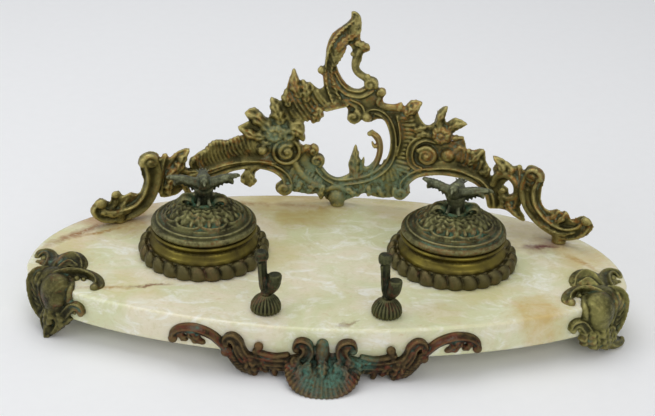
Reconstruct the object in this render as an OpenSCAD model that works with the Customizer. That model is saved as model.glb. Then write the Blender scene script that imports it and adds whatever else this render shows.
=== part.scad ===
// Double inkwell stand: an onyx slab on scroll feet, two covered ink pots on gadrooned collars,
// two pen rests and a pierced scrollwork gallery.  Millimetres, +Z up, ground at z = 0,
// front of the stand towards -Y.

/* [Slab] */
// Half of the slab's width
slab_half_w = 172; // [160:1:180]
// Depth of the slab in front of its widest line
slab_front = 63; // [56:1:68]
// Depth of the slab behind its widest line
slab_back = 100; // [96:1:106]
// Thickness of the slab
slab_t = 18; // [16:0.5:20]
// Height of the slab's underside above the ground
slab_lift = 12.25; // [12:0.25:14]
// Roundness of the front outline, where 2 is an ellipse
front_power = 1.78; // [1.7:0.01:1.9]
// Roundness of the back outline
back_power = 2.26; // [2.1:0.01:2.4]

/* [Ink pots] */
// Distance of each pot's axis from the middle
pot_x = 72.5; // [70:0.5:76]
// Distance of each pot's axis behind the widest line
pot_y = 21; // [18:0.5:24]
// Radius of the gadrooned collar
collar_r = 38.2; // [37:0.1:39]
// Height of the gadrooned collar
collar_h = 8.5; // [7:0.5:9]
// Radius of the pot at its foot
pot_r = 31.4; // [31:0.1:32]
// Height of the pot's rim above the slab
pot_h = 17.25; // [16.5:0.25:18]
// Outer radius of the glass liner
liner_r = 24; // [22:0.5:24.5]
// Outer radius of the lid's lower moulding
lid_r = 30.6; // [30:0.1:31]

/* [Hinges] */
// Distance of the hinge pin behind the pot's axis
hinge_back = 33.6; // [33.6:0.1:35]
// Radius of the hinge pin
hinge_pin_r = 1.1; // [1:0.05:1.2]
// Radius of the hinge knuckles
knuckle_r = 2.4; // [2.2:0.1:2.5]

/* [Pen rests] */
// Distance of each pen rest from the middle
rest_x = 33; // [30:0.5:36]
// Distance of the pen rests in front of the widest line
rest_front = 43.6; // [40:0.2:45]
// Radius of the fluted dome
rest_r = 8.5; // [8:0.1:9]

/* [Gallery] */
// Radius of the gallery's curve in plan
gallery_bend = 250; // [245:1:260]
// Distance of the gallery's middle behind the widest line
gallery_back = 90; // [88:0.5:91]
// Thickness of the casting
gallery_t = 6; // [5:0.5:7]

/* [Hidden] */

$fn = 64;
frame_y = -6.5;                        // brings the middle of the whole depth to y = 0
slab_top = slab_lift + slab_t;
pot_rim = slab_top + pot_h;
lid_seat = pot_rim + 0.3;
hinge_z = lid_seat + 0.2;
hinge_y = pot_y + hinge_back;
stud_r = 2;                            // gallery and pot studs
stud_hole_r = 2.3;
fork_stud_r = 1.45;
fork_hole_r = 1.7;
screw_r = 1.9;
screw_end = slab_lift + 13;
nut_h = 2.75;
gap = 0.05;                            // play between a stud and the piece it passes through
right_foot_shift = 1.5;                // the right foot stands a little further out
mount_t = 6;                           // thickness of the front mount on the slab's edge
mount_lap = 3;                         // how far it reaches back under the slab

// A point of the slab's outline at an angle, on an outline grown by a margin
function power(v, p) = sign(v) * pow(abs(v), 2 / p);
function slab_point(a, grow) = let (p = sin(a) < 0 ? front_power : back_power,
    depth = sin(a) < 0 ? slab_front : slab_back)
    [(slab_half_w + grow) * power(cos(a), p), (depth + grow) * power(sin(a), p)];
function slab_outline(grow = 0) = [for (a = [0 : 4 : 356]) slab_point(a, grow)];

// Smooth curve through chosen points; extra coordinates, such as a width, are smoothed too
function curve_at(a, b, c, d, t) = 0.5 * (2 * b + (c - a) * t + (2 * a - 5 * b + 4 * c - d) * t * t
    + (3 * b - a - 3 * c + d) * t * t * t);
function loop(p, steps = 3) = let (n = len(p))
    [for (i = [0 : n - 1]) for (k = [0 : steps - 1])
        curve_at(p[(i + n - 1) % n], p[i], p[(i + 1) % n], p[(i + 2) % n], k / steps)];
function path(p, steps = 3) = let (n = len(p))
    concat([for (i = [0 : n - 2]) for (k = [0 : steps - 1])
        curve_at(p[max(i - 1, 0)], p[i], p[i + 1], p[min(i + 2, n - 1)], k / steps)], [p[n - 1]]);

// Outline of a band: its points hold a place and a half width
function side(q, i, s) = let (a = q[max(i - 1, 0)], b = q[min(i + 1, len(q) - 1)],
    d = [b[0] - a[0], b[1] - a[1]]) [q[i][0], q[i][1]] + s * q[i][2] * [-d[1], d[0]] / norm(d);
function band(p) = let (q = path(p))
    concat([for (i = [0 : len(q) - 1]) side(q, i, 1)],
        [for (i = [len(q) - 1 : -1 : 0]) side(q, i, -1)]);

// Depth of the gallery's middle surface at a distance from the middle
function gallery_y(x) = gallery_back - gallery_bend + sqrt(pow(gallery_bend, 2) - x * x);

// Gallery outline as [x, z]: the upper edge from left to right, then the lower edge back
GALLERY_TOP = [
    [-140, 43], [-138, 48], [-134, 45], [-131, 43.5], [-130, 48], [-127.5, 50.5], [-125, 46],
    [-120.5, 47.5], [-116.5, 45.5], [-113, 49], [-112, 55], [-113.5, 62], [-113.5, 68],
    [-110, 72.5], [-105, 70.5], [-103, 66.5], [-100, 68.5], [-97, 66], [-93, 70], [-86, 71],
    [-88, 63.5], [-88.5, 58.5], [-84.5, 58], [-83, 66], [-78, 69], [-74, 69], [-70, 75], [-65, 74],
    [-62, 72.5], [-58, 76.5], [-52, 76], [-47, 73.5], [-50, 79.5], [-57, 83], [-50, 86.5],
    [-53, 92], [-47, 95], [-41, 88.5], [-37, 89], [-37.5, 101], [-31, 98], [-28, 98.5],
    [-28.5, 106], [-24, 120], [-20, 111], [-14, 111], [-9, 106.5], [-5.5, 109], [-5.5, 115],
    [-9, 117.5], [-8, 121], [-5.5, 122.5], [-5, 133], [-2, 142], [4, 147], [9, 152], [9, 156.5],
    [13, 155], [15.5, 150], [15, 144], [15.5, 138], [20, 137], [21, 133], [17, 131], [16.5, 127],
    [15, 122], [18, 118.5], [22, 116.5], [26, 114], [26.5, 108], [30, 109.5], [32, 106.5],
    [30, 103], [31.5, 99.5], [36, 98.5], [41, 101], [44, 98.5], [47, 103], [53.5, 103], [51.5, 96],
    [55, 90], [58, 88], [62, 90.5], [63.5, 98], [69, 102.5], [67.5, 95], [69.5, 91.5], [74, 95.5],
    [81, 93], [75, 88], [72, 84], [72.5, 79.5], [79.5, 83.5], [81.5, 76.5], [86, 76], [92, 78.5],
    [93, 72], [96, 67], [96.5, 62], [99.5, 62.5], [98.5, 67], [100, 70], [97.5, 75], [104, 74.5],
    [109.5, 70.5], [113, 72.5], [116, 69.5], [118.5, 74], [123, 74.5], [127, 70], [126, 63],
    [126, 55], [128.5, 50], [133, 48.5], [137, 51], [139, 49], [141, 51.5], [144, 46.5],
    [148, 49.5], [152, 52]];
GALLERY_LOWER = [
    [155, 48], [153, 42], [148, 36.5], [142, 34], [134, 34.5], [127, 38], [122, 43.5],
    [118.5, 49], [115.5, 48.5], [115, 45], [118, 41], [118, 37], [113, 38.5], [108, 41.5],
    [103, 41.5], [99, 41], [98.5, 47], [94, 52.5], [86, 57], [76, 58], [66, 56.5], [56, 53.5],
    [50, 51.5], [47.5, 48], [50, 42], [46, 37.5], [41, 38], [36, 36.5], [28, 36.5], [22, 38.5],
    [18, 36.5], [11, 33], [7, 31.5], [3, 31.5], [-2, 33], [-5, 37], [-12, 36], [-20, 37.5],
    [-24, 38.5], [-28, 36], [-33, 38], [-33.5, 43], [-29, 46], [-28, 49], [-31.5, 52.5],
    [-38, 54.5], [-43, 54], [-46.5, 51], [-47, 46], [-50, 42.5], [-54, 45], [-55, 50],
    [-52, 54], [-56, 54.5], [-62, 52.5], [-68, 49], [-73, 48], [-75, 42], [-80, 36.5], [-86, 34],
    [-87, 37.5], [-83, 42], [-82, 48.5], [-87, 50], [-91.5, 47], [-91, 43], [-95, 41],
    [-102, 41], [-103, 44], [-100.5, 48], [-104, 48], [-108, 43.5], [-113, 37.5], [-120, 33],
    [-128, 31], [-136, 35]];
// Windows through the gallery: the crest's teardrop, the middle roundel and a scroll's eye
GALLERY_WINDOWS = [
    [[8, 136], [4.5, 132], [1, 126.5], [3, 118], [8, 110.5], [14, 107.5], [18.5, 109.5],
        [18.5, 113], [14, 116], [11, 121], [11, 127], [10.5, 133]],
    [[-17.5, 83], [-17, 78], [-20, 73], [-17, 68.5], [-12, 69.5], [-8.5, 65], [-5, 59.5],
        [-6, 54], [-2, 49], [4, 47.5], [10, 49.5], [12.5, 53], [11.5, 59], [13, 65], [15, 71],
        [17.5, 63], [20.5, 57], [24, 57], [28, 64], [28, 72], [25, 77], [22.5, 79], [25, 81.5],
        [30, 77], [32, 70], [30, 60], [26, 54], [32, 57.5], [36, 65], [36.5, 76], [35, 85],
        [30, 89.5], [25, 88], [22, 86.5], [18, 89], [14, 84.5], [9, 87.5], [9.5, 94], [5, 98.5],
        [0, 95], [-4, 97.5], [-8, 94], [-10, 87], [-15, 89]],
    [[112, 57], [110.5, 61], [107, 62], [104.5, 58], [107.5, 56.5], [108, 52.5], [111, 53]]];
GALLERY_FEET = [[-127, 0], [5, -2], [139, 0]];      // x, and shift of the foot in depth

// Mounting points in plan, front of the widest line negative
POTS = [[-pot_x, pot_y], [pot_x, pot_y]];
FORKS = [[-rest_x, -rest_front], [rest_x, -rest_front]];
REAR_FEET = [[-105, 62], [105, 62]];
FRONT_FOOT_SCREW = [-144, -13];
SHELL_FOOT_SCREW = [0, -51];

// Left front foot: outline of the scrolls and the leaf that lie on the slab, as [x, y]
FOOT_SCROLLS = [[-150, -26], [-143, -18], [-136, -15], [-131, -17.5], [-129, -22], [-129.5, -28],
    [-125, -29], [-123, -22], [-125, -14], [-131, -8.5], [-139, -8], [-139, -1], [-142, 7],
    [-149, 8.5], [-154, 5], [-156.5, 0], [-157, 6], [-160, 12], [-166, 14.5], [-170.5, 9],
    [-168, 5], [-165, 8.5], [-162.5, 6], [-163, -3], [-164, -10], [-158, -20]];

// Right half of the front mount on the slab's front edge, as bands and discs
MOUNT_BANDS = [
    [[83, 17, 1.8], [82, 21.5, 2], [75, 24.5, 2.2], [67, 24.5, 2.4], [60, 21, 2.4], [54, 16, 2.6]],
    [[50, 25, 3], [53, 18, 3.4], [49, 11, 4], [42, 8, 4.5], [33, 9.5, 4], [23, 12, 3.4],
        [14, 14, 3.4], [9, 20, 3.4]]];
MOUNT_DISCS = [[50, 25, 3.4], [9, 21.5, 4]];

module place() {
    translate([0, frame_y, 0]) children();
}

module at_pots(which = [0, 1]) {
    for (i = which) translate([POTS[i][0], POTS[i][1], 0]) children();
}

module slab_blank(grow = 0) {
    translate([0, 0, slab_lift]) linear_extrude(slab_t) polygon(slab_outline(grow));
}

// Hexagon nut under the slab, with its bore
module nut(across_r, bore_r, top) {
    difference() {
        translate([0, 0, top - nut_h]) cylinder(h = nut_h, r = across_r, $fn = 6);
        translate([0, 0, top - nut_h - 1]) cylinder(h = nut_h + 2, r = bore_r);
    }
}

// Slab with a hole for each stud and screw
module onyx_slab() {
    color("ivory") place() difference() {
        slab_blank();
        at_pots() translate([0, 0, slab_lift - 1]) cylinder(h = slab_t + 2, r = stud_hole_r);
        for (f = FORKS)
            translate([f[0], f[1], slab_lift - 1]) cylinder(h = slab_t + 2, r = fork_hole_r);
        for (g = GALLERY_FEET) translate([g[0], gallery_y(g[0]) + g[1], slab_lift - 1])
            cylinder(h = slab_t + 2, r = stud_hole_r);
        for (s = screw_places()) translate([s[0], s[1], slab_lift - 1])
            cylinder(h = screw_end - slab_lift + 1, r = screw_r + gap);
    }
}

function screw_places() = concat(front_screws(), REAR_FEET);
function front_screws() = [FRONT_FOOT_SCREW, [right_foot_shift - FRONT_FOOT_SCREW[0],
    FRONT_FOOT_SCREW[1]], SHELL_FOOT_SCREW];

// Flat outline of the gallery with its windows, x across and y up
module gallery_outline() {
    loops = concat([loop(concat(GALLERY_TOP, GALLERY_LOWER), 2)],
        [for (w = GALLERY_WINDOWS) loop(w, 2)]);
    starts = [for (i = [0 : len(loops) - 1]) points_before(loops, i)];
    polygon([for (l = loops) each l],
        [for (i = [0 : len(loops) - 1]) [for (k = [0 : len(loops[i]) - 1]) starts[i] + k]]);
}

function points_before(loops, i) = i == 0 ? 0 : points_before(loops, i - 1) + len(loops[i - 1]);

// Upright ring that the gallery is cut from
module gallery_shell() {
    translate([0, gallery_back - gallery_bend, slab_top]) difference() {
        cylinder(h = 140, r = gallery_bend + gallery_t / 2);
        translate([0, 0, -1]) cylinder(h = 142, r = gallery_bend - gallery_t / 2);
    }
}

module gallery() {
    color("darkolivegreen") place() difference() {
        union() {
            intersection() {
                gallery_shell();
                translate([0, slab_back, 0]) rotate([90, 0, 0]) linear_extrude(slab_back)
                    gallery_outline();
            }
            for (g = GALLERY_FEET) translate([g[0], gallery_y(g[0]) + g[1], slab_top])
                cylinder(h = 6, r = 4.5);
        }
        for (g = GALLERY_FEET) translate([g[0], gallery_y(g[0]) + g[1], slab_top - 1])
            cylinder(h = 5.5, r = stud_r + gap);
    }
}

module gallery_studs() {
    color("goldenrod") place() for (g = GALLERY_FEET)
        translate([g[0], gallery_y(g[0]) + g[1], slab_lift - 4]) cylinder(h = slab_t + 8, r = stud_r);
}

module gallery_nuts() {
    color("goldenrod") place() for (g = GALLERY_FEET)
        translate([g[0], gallery_y(g[0]) + g[1], 0]) nut(4, stud_r + gap, slab_lift);
}

// Plain form of the gadrooned collar round a pot
module collar(i) {
    color("olivedrab") place() at_pots([i]) translate([0, 0, slab_top]) rotate_extrude()
        polygon([[pot_r + gap, 0], [collar_r, 0], [collar_r, 2.5], [collar_r - 1.2, 5.2],
            [collar_r - 3.4, 7.4], [pot_r + 0.6, collar_h], [pot_r + gap, collar_h]]);
}

module left_collar() {
    collar(0);
}

module right_collar() {
    collar(1);
}

// Turned pot with a waist, an open mouth and a tapped hole in its foot
module pot(i) {
    color("darkkhaki") place() at_pots([i]) translate([0, 0, slab_top]) difference() {
        rotate_extrude() polygon(concat([[0, 0], [pot_r, 0], [pot_r, collar_h + 0.6]],
            [for (t = [0 : 0.125 : 1]) [pot_r - 0.8 - 2.4 * sin(180 * t), collar_h + 1 + 6.4 * t]],
            [[pot_r - 1.4, pot_h], [liner_r + 1.6, pot_h], [liner_r + 1.6, 3], [0, 3]]));
        translate([0, 0, -1]) cylinder(h = 3.4, r = stud_r + gap);
    }
}

module left_pot() {
    pot(0);
}

module right_pot() {
    pot(1);
}

// Screws that hold the pots from under the slab
module pot_screws() {
    color("goldenrod") place() at_pots() {
        translate([0, 0, slab_lift - 0.8]) cylinder(h = slab_t + 3, r = stud_r);
        translate([0, 0, slab_lift - 3.3]) cylinder(h = 2.5, r = 3.8);
    }
}

module pot_washers() {
    color("goldenrod") place() at_pots() translate([0, 0, slab_lift - 0.8]) difference() {
        cylinder(h = 0.8, r = 6);
        translate([0, 0, -1]) cylinder(h = 3, r = stud_r + gap);
    }
}

// Glass ink well that stands in a pot, with a rolled lip
module glass_liner(i) {
    color("lightsteelblue") place() at_pots([i]) translate([0, 0, slab_top + 3]) rotate_extrude()
        polygon([[0, 0], [liner_r - 1.5, 0], [liner_r, 1.5], [liner_r, 12.6], [liner_r - 1, 13.4],
            [liner_r - 2.4, 12.6], [liner_r - 2.4, 4], [liner_r - 5, 2.6], [0, 2.6]]);
}

module left_glass_liner() {
    glass_liner(0);
}

module right_glass_liner() {
    glass_liner(1);
}

// Hinge bracket on the back of a pot: a block with two ears
module hinge_bracket(i) {
    color("goldenrod") place() translate([POTS[i][0], 0, 0]) difference() {
        union() {
            translate([-6.6, pot_y + 27, hinge_z - 6.5]) cube([13.2, hinge_back - 24.6, 3.6]);
            for (s = [-6.6, 3.4]) {
                translate([s, hinge_y, hinge_z]) rotate([0, 90, 0]) cylinder(h = 3.2, r = knuckle_r);
                translate([s, hinge_y - knuckle_r, hinge_z - 4]) cube([3.2, 2 * knuckle_r, 4]);
            }
        }
        translate([0, pot_y, slab_top]) cylinder(h = pot_h + 1, r = pot_r - 1.4 + gap);
        translate([-8, hinge_y, hinge_z]) rotate([0, 90, 0])
            cylinder(h = 16, r = hinge_pin_r + 0.02);
    }
}

module left_hinge_bracket() {
    hinge_bracket(0);
}

module right_hinge_bracket() {
    hinge_bracket(1);
}

module hinge_pin(i) {
    color("goldenrod") place() translate([POTS[i][0], hinge_y, hinge_z]) rotate([0, 90, 0]) {
        translate([0, 0, -7.6]) cylinder(h = 15.2, r = hinge_pin_r);
        for (s = [-7.6, 6.6]) translate([0, 0, s]) cylinder(h = 1, r = 1.7);
    }
}

module left_hinge_pin() {
    hinge_pin(0);
}

module right_hinge_pin() {
    hinge_pin(1);
}

// Domed lid with a double moulding, and its hinge knuckle
module lid(i) {
    color("olivedrab") place() difference() {
        union() {
            at_pots([i]) translate([0, 0, lid_seat]) rotate_extrude() polygon([
                [1.6, 14], [6, 13.8], [12, 12.5], [18.5, 10], [23.5, 7], [26, 5.4], [27.2, 5.2],
                [27.7, 4.5], [27.4, 3.6], [29.2, 3.3], [lid_r - 0.2, 2.4], [lid_r, 1.4],
                [lid_r - 0.6, 0], [25.8, 0], [25, 3], [22.4, 5], [17.6, 7.8], [11.6, 10.2],
                [6, 11.4], [1.6, 11.6]]);
            translate([POTS[i][0] - 3.1, hinge_y, hinge_z]) rotate([0, 90, 0])
                cylinder(h = 6.2, r = knuckle_r);
            translate([POTS[i][0] - 3.1, pot_y + 28.5, lid_seat + 0.2])
                cube([6.2, hinge_back - 28.5, 2.2]);
        }
        translate([POTS[i][0] - 4, hinge_y, hinge_z]) rotate([0, 90, 0])
            cylinder(h = 8, r = hinge_pin_r + 0.08);
    }
}

module left_lid() {
    lid(0);
}

module right_lid() {
    lid(1);
}

// Half ellipse for a body turned about its length
function half_ellipse(half_l, r) =
    [for (a = [-90 : 15 : 90]) [r * cos(a), half_l * sin(a)]];

// Bird with spread wings on a stump, with its threaded stud
module bird_finial(i, turn) {
    color("darkslategray") place() at_pots([i]) {
        translate([0, 0, lid_seat + 14]) rotate_extrude()
            polygon([[0, 0], [6, 0], [4.4, 2], [3.2, 6], [3, 11], [0, 12]]);
        translate([0, 0, lid_seat + 8]) cylinder(h = 7, r = 1.5);
        translate([0, 0, lid_seat + 27]) rotate([0, 0, turn]) {
            rotate([70, 0, 0]) rotate_extrude() polygon(half_ellipse(9, 4.4));
            translate([0, -8, 4]) sphere(r = 2.8);
            for (s = [-1, 1]) rotate([0, s * 8, 0]) linear_extrude(2.2)
                polygon([for (p = [[2, -5], [10, -5.5], [19, -3], [21, 1], [15, 4.5], [6, 5.5],
                    [2, 4.5]]) [s * p[0], p[1]]]);
        }
    }
}

module left_bird_finial() {
    bird_finial(0, 8);
}

module right_bird_finial() {
    bird_finial(1, -20);
}

module finial_nut(i) {
    color("goldenrod") place() at_pots([i]) nut(3.4, 1.5 + gap, lid_seat + 11.45);
}

module left_finial_nut() {
    finial_nut(0);
}

module right_finial_nut() {
    finial_nut(1);
}

// Domed base of a pen rest, bored for the fork's stud
module pen_rest_base(i) {
    color("darkolivegreen") place() translate([FORKS[i][0], FORKS[i][1], slab_top])
        rotate_extrude() polygon([[fork_stud_r + gap, 0], [rest_r - 0.6, 0], [rest_r, 2.4],
            [rest_r - 0.7, 5.4], [rest_r - 3, 8.2], [3.4, 10], [fork_stud_r + gap, 10]]);
}

module left_pen_rest_base() {
    pen_rest_base(0);
}

module right_pen_rest_base() {
    pen_rest_base(1);
}

// Fork with a tall leaning arm and a short cup, on a threaded stud
module pen_fork(i, turn) {
    color("saddlebrown") place() translate([FORKS[i][0], FORKS[i][1], slab_top]) {
        translate([0, 0, -slab_t - 4]) cylinder(h = slab_t + 16, r = fork_stud_r);
        rotate([0, 0, turn]) {
            translate([0, 0, 10]) cylinder(h = 2.6, r = 2.9);
            translate([0, 2, 0]) rotate([90, 0, 0]) linear_extrude(4) polygon(band([[0, 11.5, 2.6],
                [-0.6, 16, 2.4], [-2, 22, 2.2], [-3.6, 28.5, 2.4], [-4.4, 33.5, 3.2]]));
            translate([0, 3, 0]) rotate([90, 0, 0]) linear_extrude(6) polygon(band([[0.6, 11.8, 2.4],
                [2.8, 15, 3], [3.8, 19, 3], [4, 22, 2.6]]));
        }
    }
}

module left_pen_fork() {
    pen_fork(0, -12);
}

module right_pen_fork() {
    pen_fork(1, -40);
}

module pen_fork_nuts() {
    color("goldenrod") place() for (f = FORKS)
        translate([f[0], f[1], 0]) nut(3.2, fork_stud_r + gap, slab_lift);
}

// Places a shape drawn for the left front foot at either side
module foot_side(i) {
    if (i == 0) children();
    else translate([right_foot_shift, 0, 0]) mirror([1, 0, 0]) children();
}

// Front foot: a swelling shield over the slab's edge, its claw, and scrolls on the slab
module front_foot(i) {
    color("darkolivegreen") place() difference() {
        union() {
            difference() {
                foot_side(i) {
                    translate([-154, -20, 0]) rotate_extrude() polygon([[0, 7], [8, 8], [11, 14],
                        [12.4, 21], [12.2, 28], [10, 33], [6, 35.4], [0, 36]]);
                    translate([-155.5, -35, -0.6]) rotate([-28, 0, 0])
                        cylinder(h = 17, r1 = 3.4, r2 = 7.6);
                }
                slab_blank();
                translate([-200, -80, -20]) cube([400, 100, 20]);
            }
            foot_side(i) translate([0, 0, slab_top]) linear_extrude(3.4) polygon(loop(FOOT_SCROLLS));
            foot_side(i) translate([0, 0, slab_lift - 5]) linear_extrude(5)
                polygon(band([[-150, -22, 5], [-147, -17.5, 6.5], [-143, -11, 6]]));
        }
        foot_side(i) translate([FRONT_FOOT_SCREW[0], FRONT_FOOT_SCREW[1], 0])
            cylinder(h = slab_lift + 1, r = screw_r + gap);
    }
}

module left_front_foot() {
    front_foot(0);
}

module right_front_foot() {
    front_foot(1);
}

// Scroll mount on the slab's front edge, with the shell that stands forward as a middle foot
module front_shell_foot() {
    color("sienna") place() difference() {
        union() {
            intersection() {
                linear_extrude(slab_top) difference() {
                    polygon(slab_outline(mount_t));
                    polygon(slab_outline(-mount_lap));
                }
                rotate([90, 0, 0]) linear_extrude(slab_front + 20) mount_outline();
            }
            translate([0, -64, 15]) rotate([124, 0, 0]) linear_extrude(24)
                polygon([[-20, -3], [-20, 3], [-8, 5.5], [8, 5.5], [20, 3], [20, -3], [0, -1]]);
            translate([-9, -68, slab_lift - 5]) cube([18, 24, 5]);
        }
        slab_blank();
        translate([-60, -120, -20]) cube([120, 120, 20]);
        translate([SHELL_FOOT_SCREW[0], SHELL_FOOT_SCREW[1], 0])
            cylinder(h = 20, r = screw_r + gap);
    }
}

// Flat outline of the front mount, x across and y up
module mount_outline() {
    for (s = [0, 1]) mirror([s, 0]) {
        for (b = MOUNT_BANDS) polygon(band(b));
        for (d = MOUNT_DISCS) translate([d[0], d[1]]) circle(r = d[2]);
    }
    translate([0, 16]) circle(r = 11);
}

// Plain turned foot with a recessed screw
module rear_foot(i) {
    color("darkolivegreen") place() translate([REAR_FEET[i][0], REAR_FEET[i][1], 0])
        rotate_extrude() polygon([[4.2, 0], [7, 0], [8.6, 3], [8, 6.6], [9.6, 9],
            [9.6, slab_lift], [screw_r + gap, slab_lift], [screw_r + gap, 3.6], [4.2, 3.6]]);
}

module left_rear_foot() {
    rear_foot(0);
}

module right_rear_foot() {
    rear_foot(1);
}

// A round-headed screw, head down, from its seat height up into the slab
module foot_screw(seat, head_h) {
    translate([0, 0, seat]) cylinder(h = screw_end - seat - 0.5, r = screw_r);
    translate([0, 0, seat - head_h]) cylinder(h = head_h, r = 3.6);
}

module foot_screws() {
    color("goldenrod") place() for (s = front_screws())
        translate([s[0], s[1], 0]) foot_screw(slab_lift - 5, 2.4);
}

module rear_foot_screws() {
    color("goldenrod") place() for (s = REAR_FEET)
        translate([s[0], s[1], 0]) foot_screw(3.6, 2.2);
}

onyx_slab();
gallery();
gallery_studs();
gallery_nuts();
left_collar();
right_collar();
left_pot();
right_pot();
pot_screws();
pot_washers();
left_glass_liner();
right_glass_liner();
left_hinge_bracket();
right_hinge_bracket();
left_hinge_pin();
right_hinge_pin();
left_lid();
right_lid();
left_bird_finial();
right_bird_finial();
left_finial_nut();
right_finial_nut();
left_pen_rest_base();
right_pen_rest_base();
left_pen_fork();
right_pen_fork();
pen_fork_nuts();
left_front_foot();
right_front_foot();
front_shell_foot();
left_rear_foot();
right_rear_foot();
foot_screws();
rear_foot_screws();
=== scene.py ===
# %% [markdown]
# # A double inkwell stand in Blender
# The real object is a polished onyx slab on scroll feet.  It carries two ink pots with hinged
# lids, two pen rests and a pierced rococo gallery, all sand-cast in brass and bronze and left
# to tarnish.  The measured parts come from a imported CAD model, which we load first and never
# move.  Everything we add is placed from its boxes, so each piece lands where it belongs.

# %% Load the measured frame
import math

import bpy
import numpy as np
from mathutils import Matrix, Vector


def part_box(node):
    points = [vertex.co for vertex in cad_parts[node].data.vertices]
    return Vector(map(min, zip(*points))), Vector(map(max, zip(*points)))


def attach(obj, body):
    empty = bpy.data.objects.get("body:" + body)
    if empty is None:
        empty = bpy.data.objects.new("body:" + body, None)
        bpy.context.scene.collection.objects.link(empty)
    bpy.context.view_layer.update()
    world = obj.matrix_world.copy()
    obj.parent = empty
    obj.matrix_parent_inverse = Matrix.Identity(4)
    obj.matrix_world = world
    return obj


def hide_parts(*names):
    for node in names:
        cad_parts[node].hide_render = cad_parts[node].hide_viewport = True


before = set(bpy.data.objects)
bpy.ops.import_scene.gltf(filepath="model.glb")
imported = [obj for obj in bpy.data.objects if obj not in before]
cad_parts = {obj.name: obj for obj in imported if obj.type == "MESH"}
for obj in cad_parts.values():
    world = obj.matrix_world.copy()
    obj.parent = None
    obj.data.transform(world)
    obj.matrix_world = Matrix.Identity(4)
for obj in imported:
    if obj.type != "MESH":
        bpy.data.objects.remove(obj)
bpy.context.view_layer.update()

# %% [markdown]
# ## Measuring the frame
# Blender counts in metres, but a maker thinks of this object in millimetres.  We keep every
# size in millimetres and turn it into metres only when a mesh is made.  Depths count from the
# slab's widest line, because the slab, the pots and the feet were all laid out from it.

# %% Sizes taken from the frame
MM = 0.001


def span(node):
    """Lowest and highest corner of a CAD node, in millimetres."""
    low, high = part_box(node)
    return np.array(low) / MM, np.array(high) / MM


slab_low, slab_high = span("onyx_slab")
slab_front = 63.0  # depth of the slab before its widest line
slab_back = 100.0  # and behind it
slab_half = slab_high[0]
widest_y = slab_low[1] + slab_front
slab_top = slab_high[2]
slab_under = slab_low[2]
pot_low, pot_high = span("right_pot")
pot_x = (pot_low[0] + pot_high[0]) / 2
pot_y = (pot_low[1] + pot_high[1]) / 2 - widest_y
pot_r = (pot_high[0] - pot_low[0]) / 2
lid_r = (span("right_lid")[1] - span("right_lid")[0])[0] / 2
lid_seat = span("right_pot")[1][2] + 0.3
SIDES = {"left": -1, "right": 1}
print(f"slab {2 * slab_half:.0f} mm wide, top at {slab_top:.2f}, pots at x {pot_x:.1f} y {pot_y:.1f}")

# %% [markdown]
# ## Tools for modelling ornament
# A rococo casting looks free, but its carver built it from a few motifs: scrolls, spirals,
# leaves, shells and beads.  We do the same.  Each motif is a *loft*, a row of closed
# cross-sections joined by faces, drawn on a flat sheet that runs across, up and out towards the
# viewer.  A sheet can then be bent over a curved gallery or the edge of the slab.
# Sculpting by hand would look as good, but code like this can be read and changed.

# %% Curves and lofts
def smooth_path(points, steps=6, ring=False):
    """Catmull-Rom curve through given points; extra coordinates are smoothed too."""
    p = np.array(points, float)
    n = len(p)
    spans = n if ring else n - 1
    out = []
    for i in range(spans):
        near = [(i + k) % n if ring else min(max(i + k, 0), n - 1) for k in (-1, 0, 1, 2)]
        a, b, c, d = p[near]
        for t in np.arange(steps) / steps:
            out.append(0.5 * (2 * b + (c - a) * t + (2 * a - 5 * b + 4 * c - d) * t ** 2
                              + (3 * b - a - 3 * c + d) * t ** 3))
    if not ring:
        out.append(p[-1])
    return np.array(out)


def loft(rings, joined=False):
    """Closed mesh through rows of points: rings has shape rows, points, 3."""
    rows, across = rings.shape[:2]
    faces = []
    for i in range(rows if joined else rows - 1):
        a, b = i * across, (i + 1) % rows * across
        for k in range(across):
            j = (k + 1) % across
            faces.append((a + k, a + j, b + j, b + k))
    if not joined:
        faces.append(tuple(range(across))[::-1])
        faces.append(tuple(range((rows - 1) * across, rows * across)))
    return rings.reshape(-1, 3), faces


def bent(motifs, sheet):
    """Carries flat motifs onto a curved sheet, a function of across, up and out."""
    return [(sheet(verts), faces) for verts, faces in motifs]


# %% [markdown]
# ### Bands and scrolls
# A scroll is a strip that follows a curve.  Its cross-section decides how it catches light:
# `round` for stems, `rimmed` for the classic C-scroll with two raised edges and a hollow
# between, `ridge` for a crisp spine.  Fine ribs across the strip make rocaille work.

# %% Bands
PROFILES = {
    "round": [(s, math.sqrt(1 - s * s)) for s in np.sin(np.linspace(-90, 90, 11) * math.pi / 180)],
    "rimmed": [(-1, 0), (-0.95, 0.6), (-0.8, 0.84), (-0.6, 0.8), (-0.35, 0.62), (0, 0.46),
               (0.3, 0.5), (0.55, 0.82), (0.76, 1), (0.94, 0.75), (1, 0)],
    "ridge": [(-1, 0), (-0.9, 0.25), (-0.55, 0.42), (-0.25, 0.7), (0, 1), (0.25, 0.7),
              (0.55, 0.42), (0.9, 0.25), (1, 0)],
    "lip": [(-1, 0), (-0.95, 0.9), (-0.7, 1.15), (-0.45, 0.8), (-0.1, 0.45), (0.3, 0.4),
            (0.7, 0.35), (0.95, 0.25), (1, 0)],
}


def rounded_ends(path):
    """Adds shrinking sections beyond both ends, so that a strip ends in a round nose."""
    noses = []
    for end, inner in ((path[0], path[1]), (path[-1], path[-2])):
        ahead = end[:2] - inner[:2]
        ahead = ahead / max(np.linalg.norm(ahead), 1e-6)
        nose = []
        for reach, size in ((0.45, 0.86), (0.78, 0.55), (0.95, 0.2)):
            row = end.copy()
            row[:2] += ahead * reach * end[2]
            row[2] *= size
            nose.append(row)
        noses.append(nose)
    return np.array(noses[0][::-1] + list(path) + noses[1])


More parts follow.
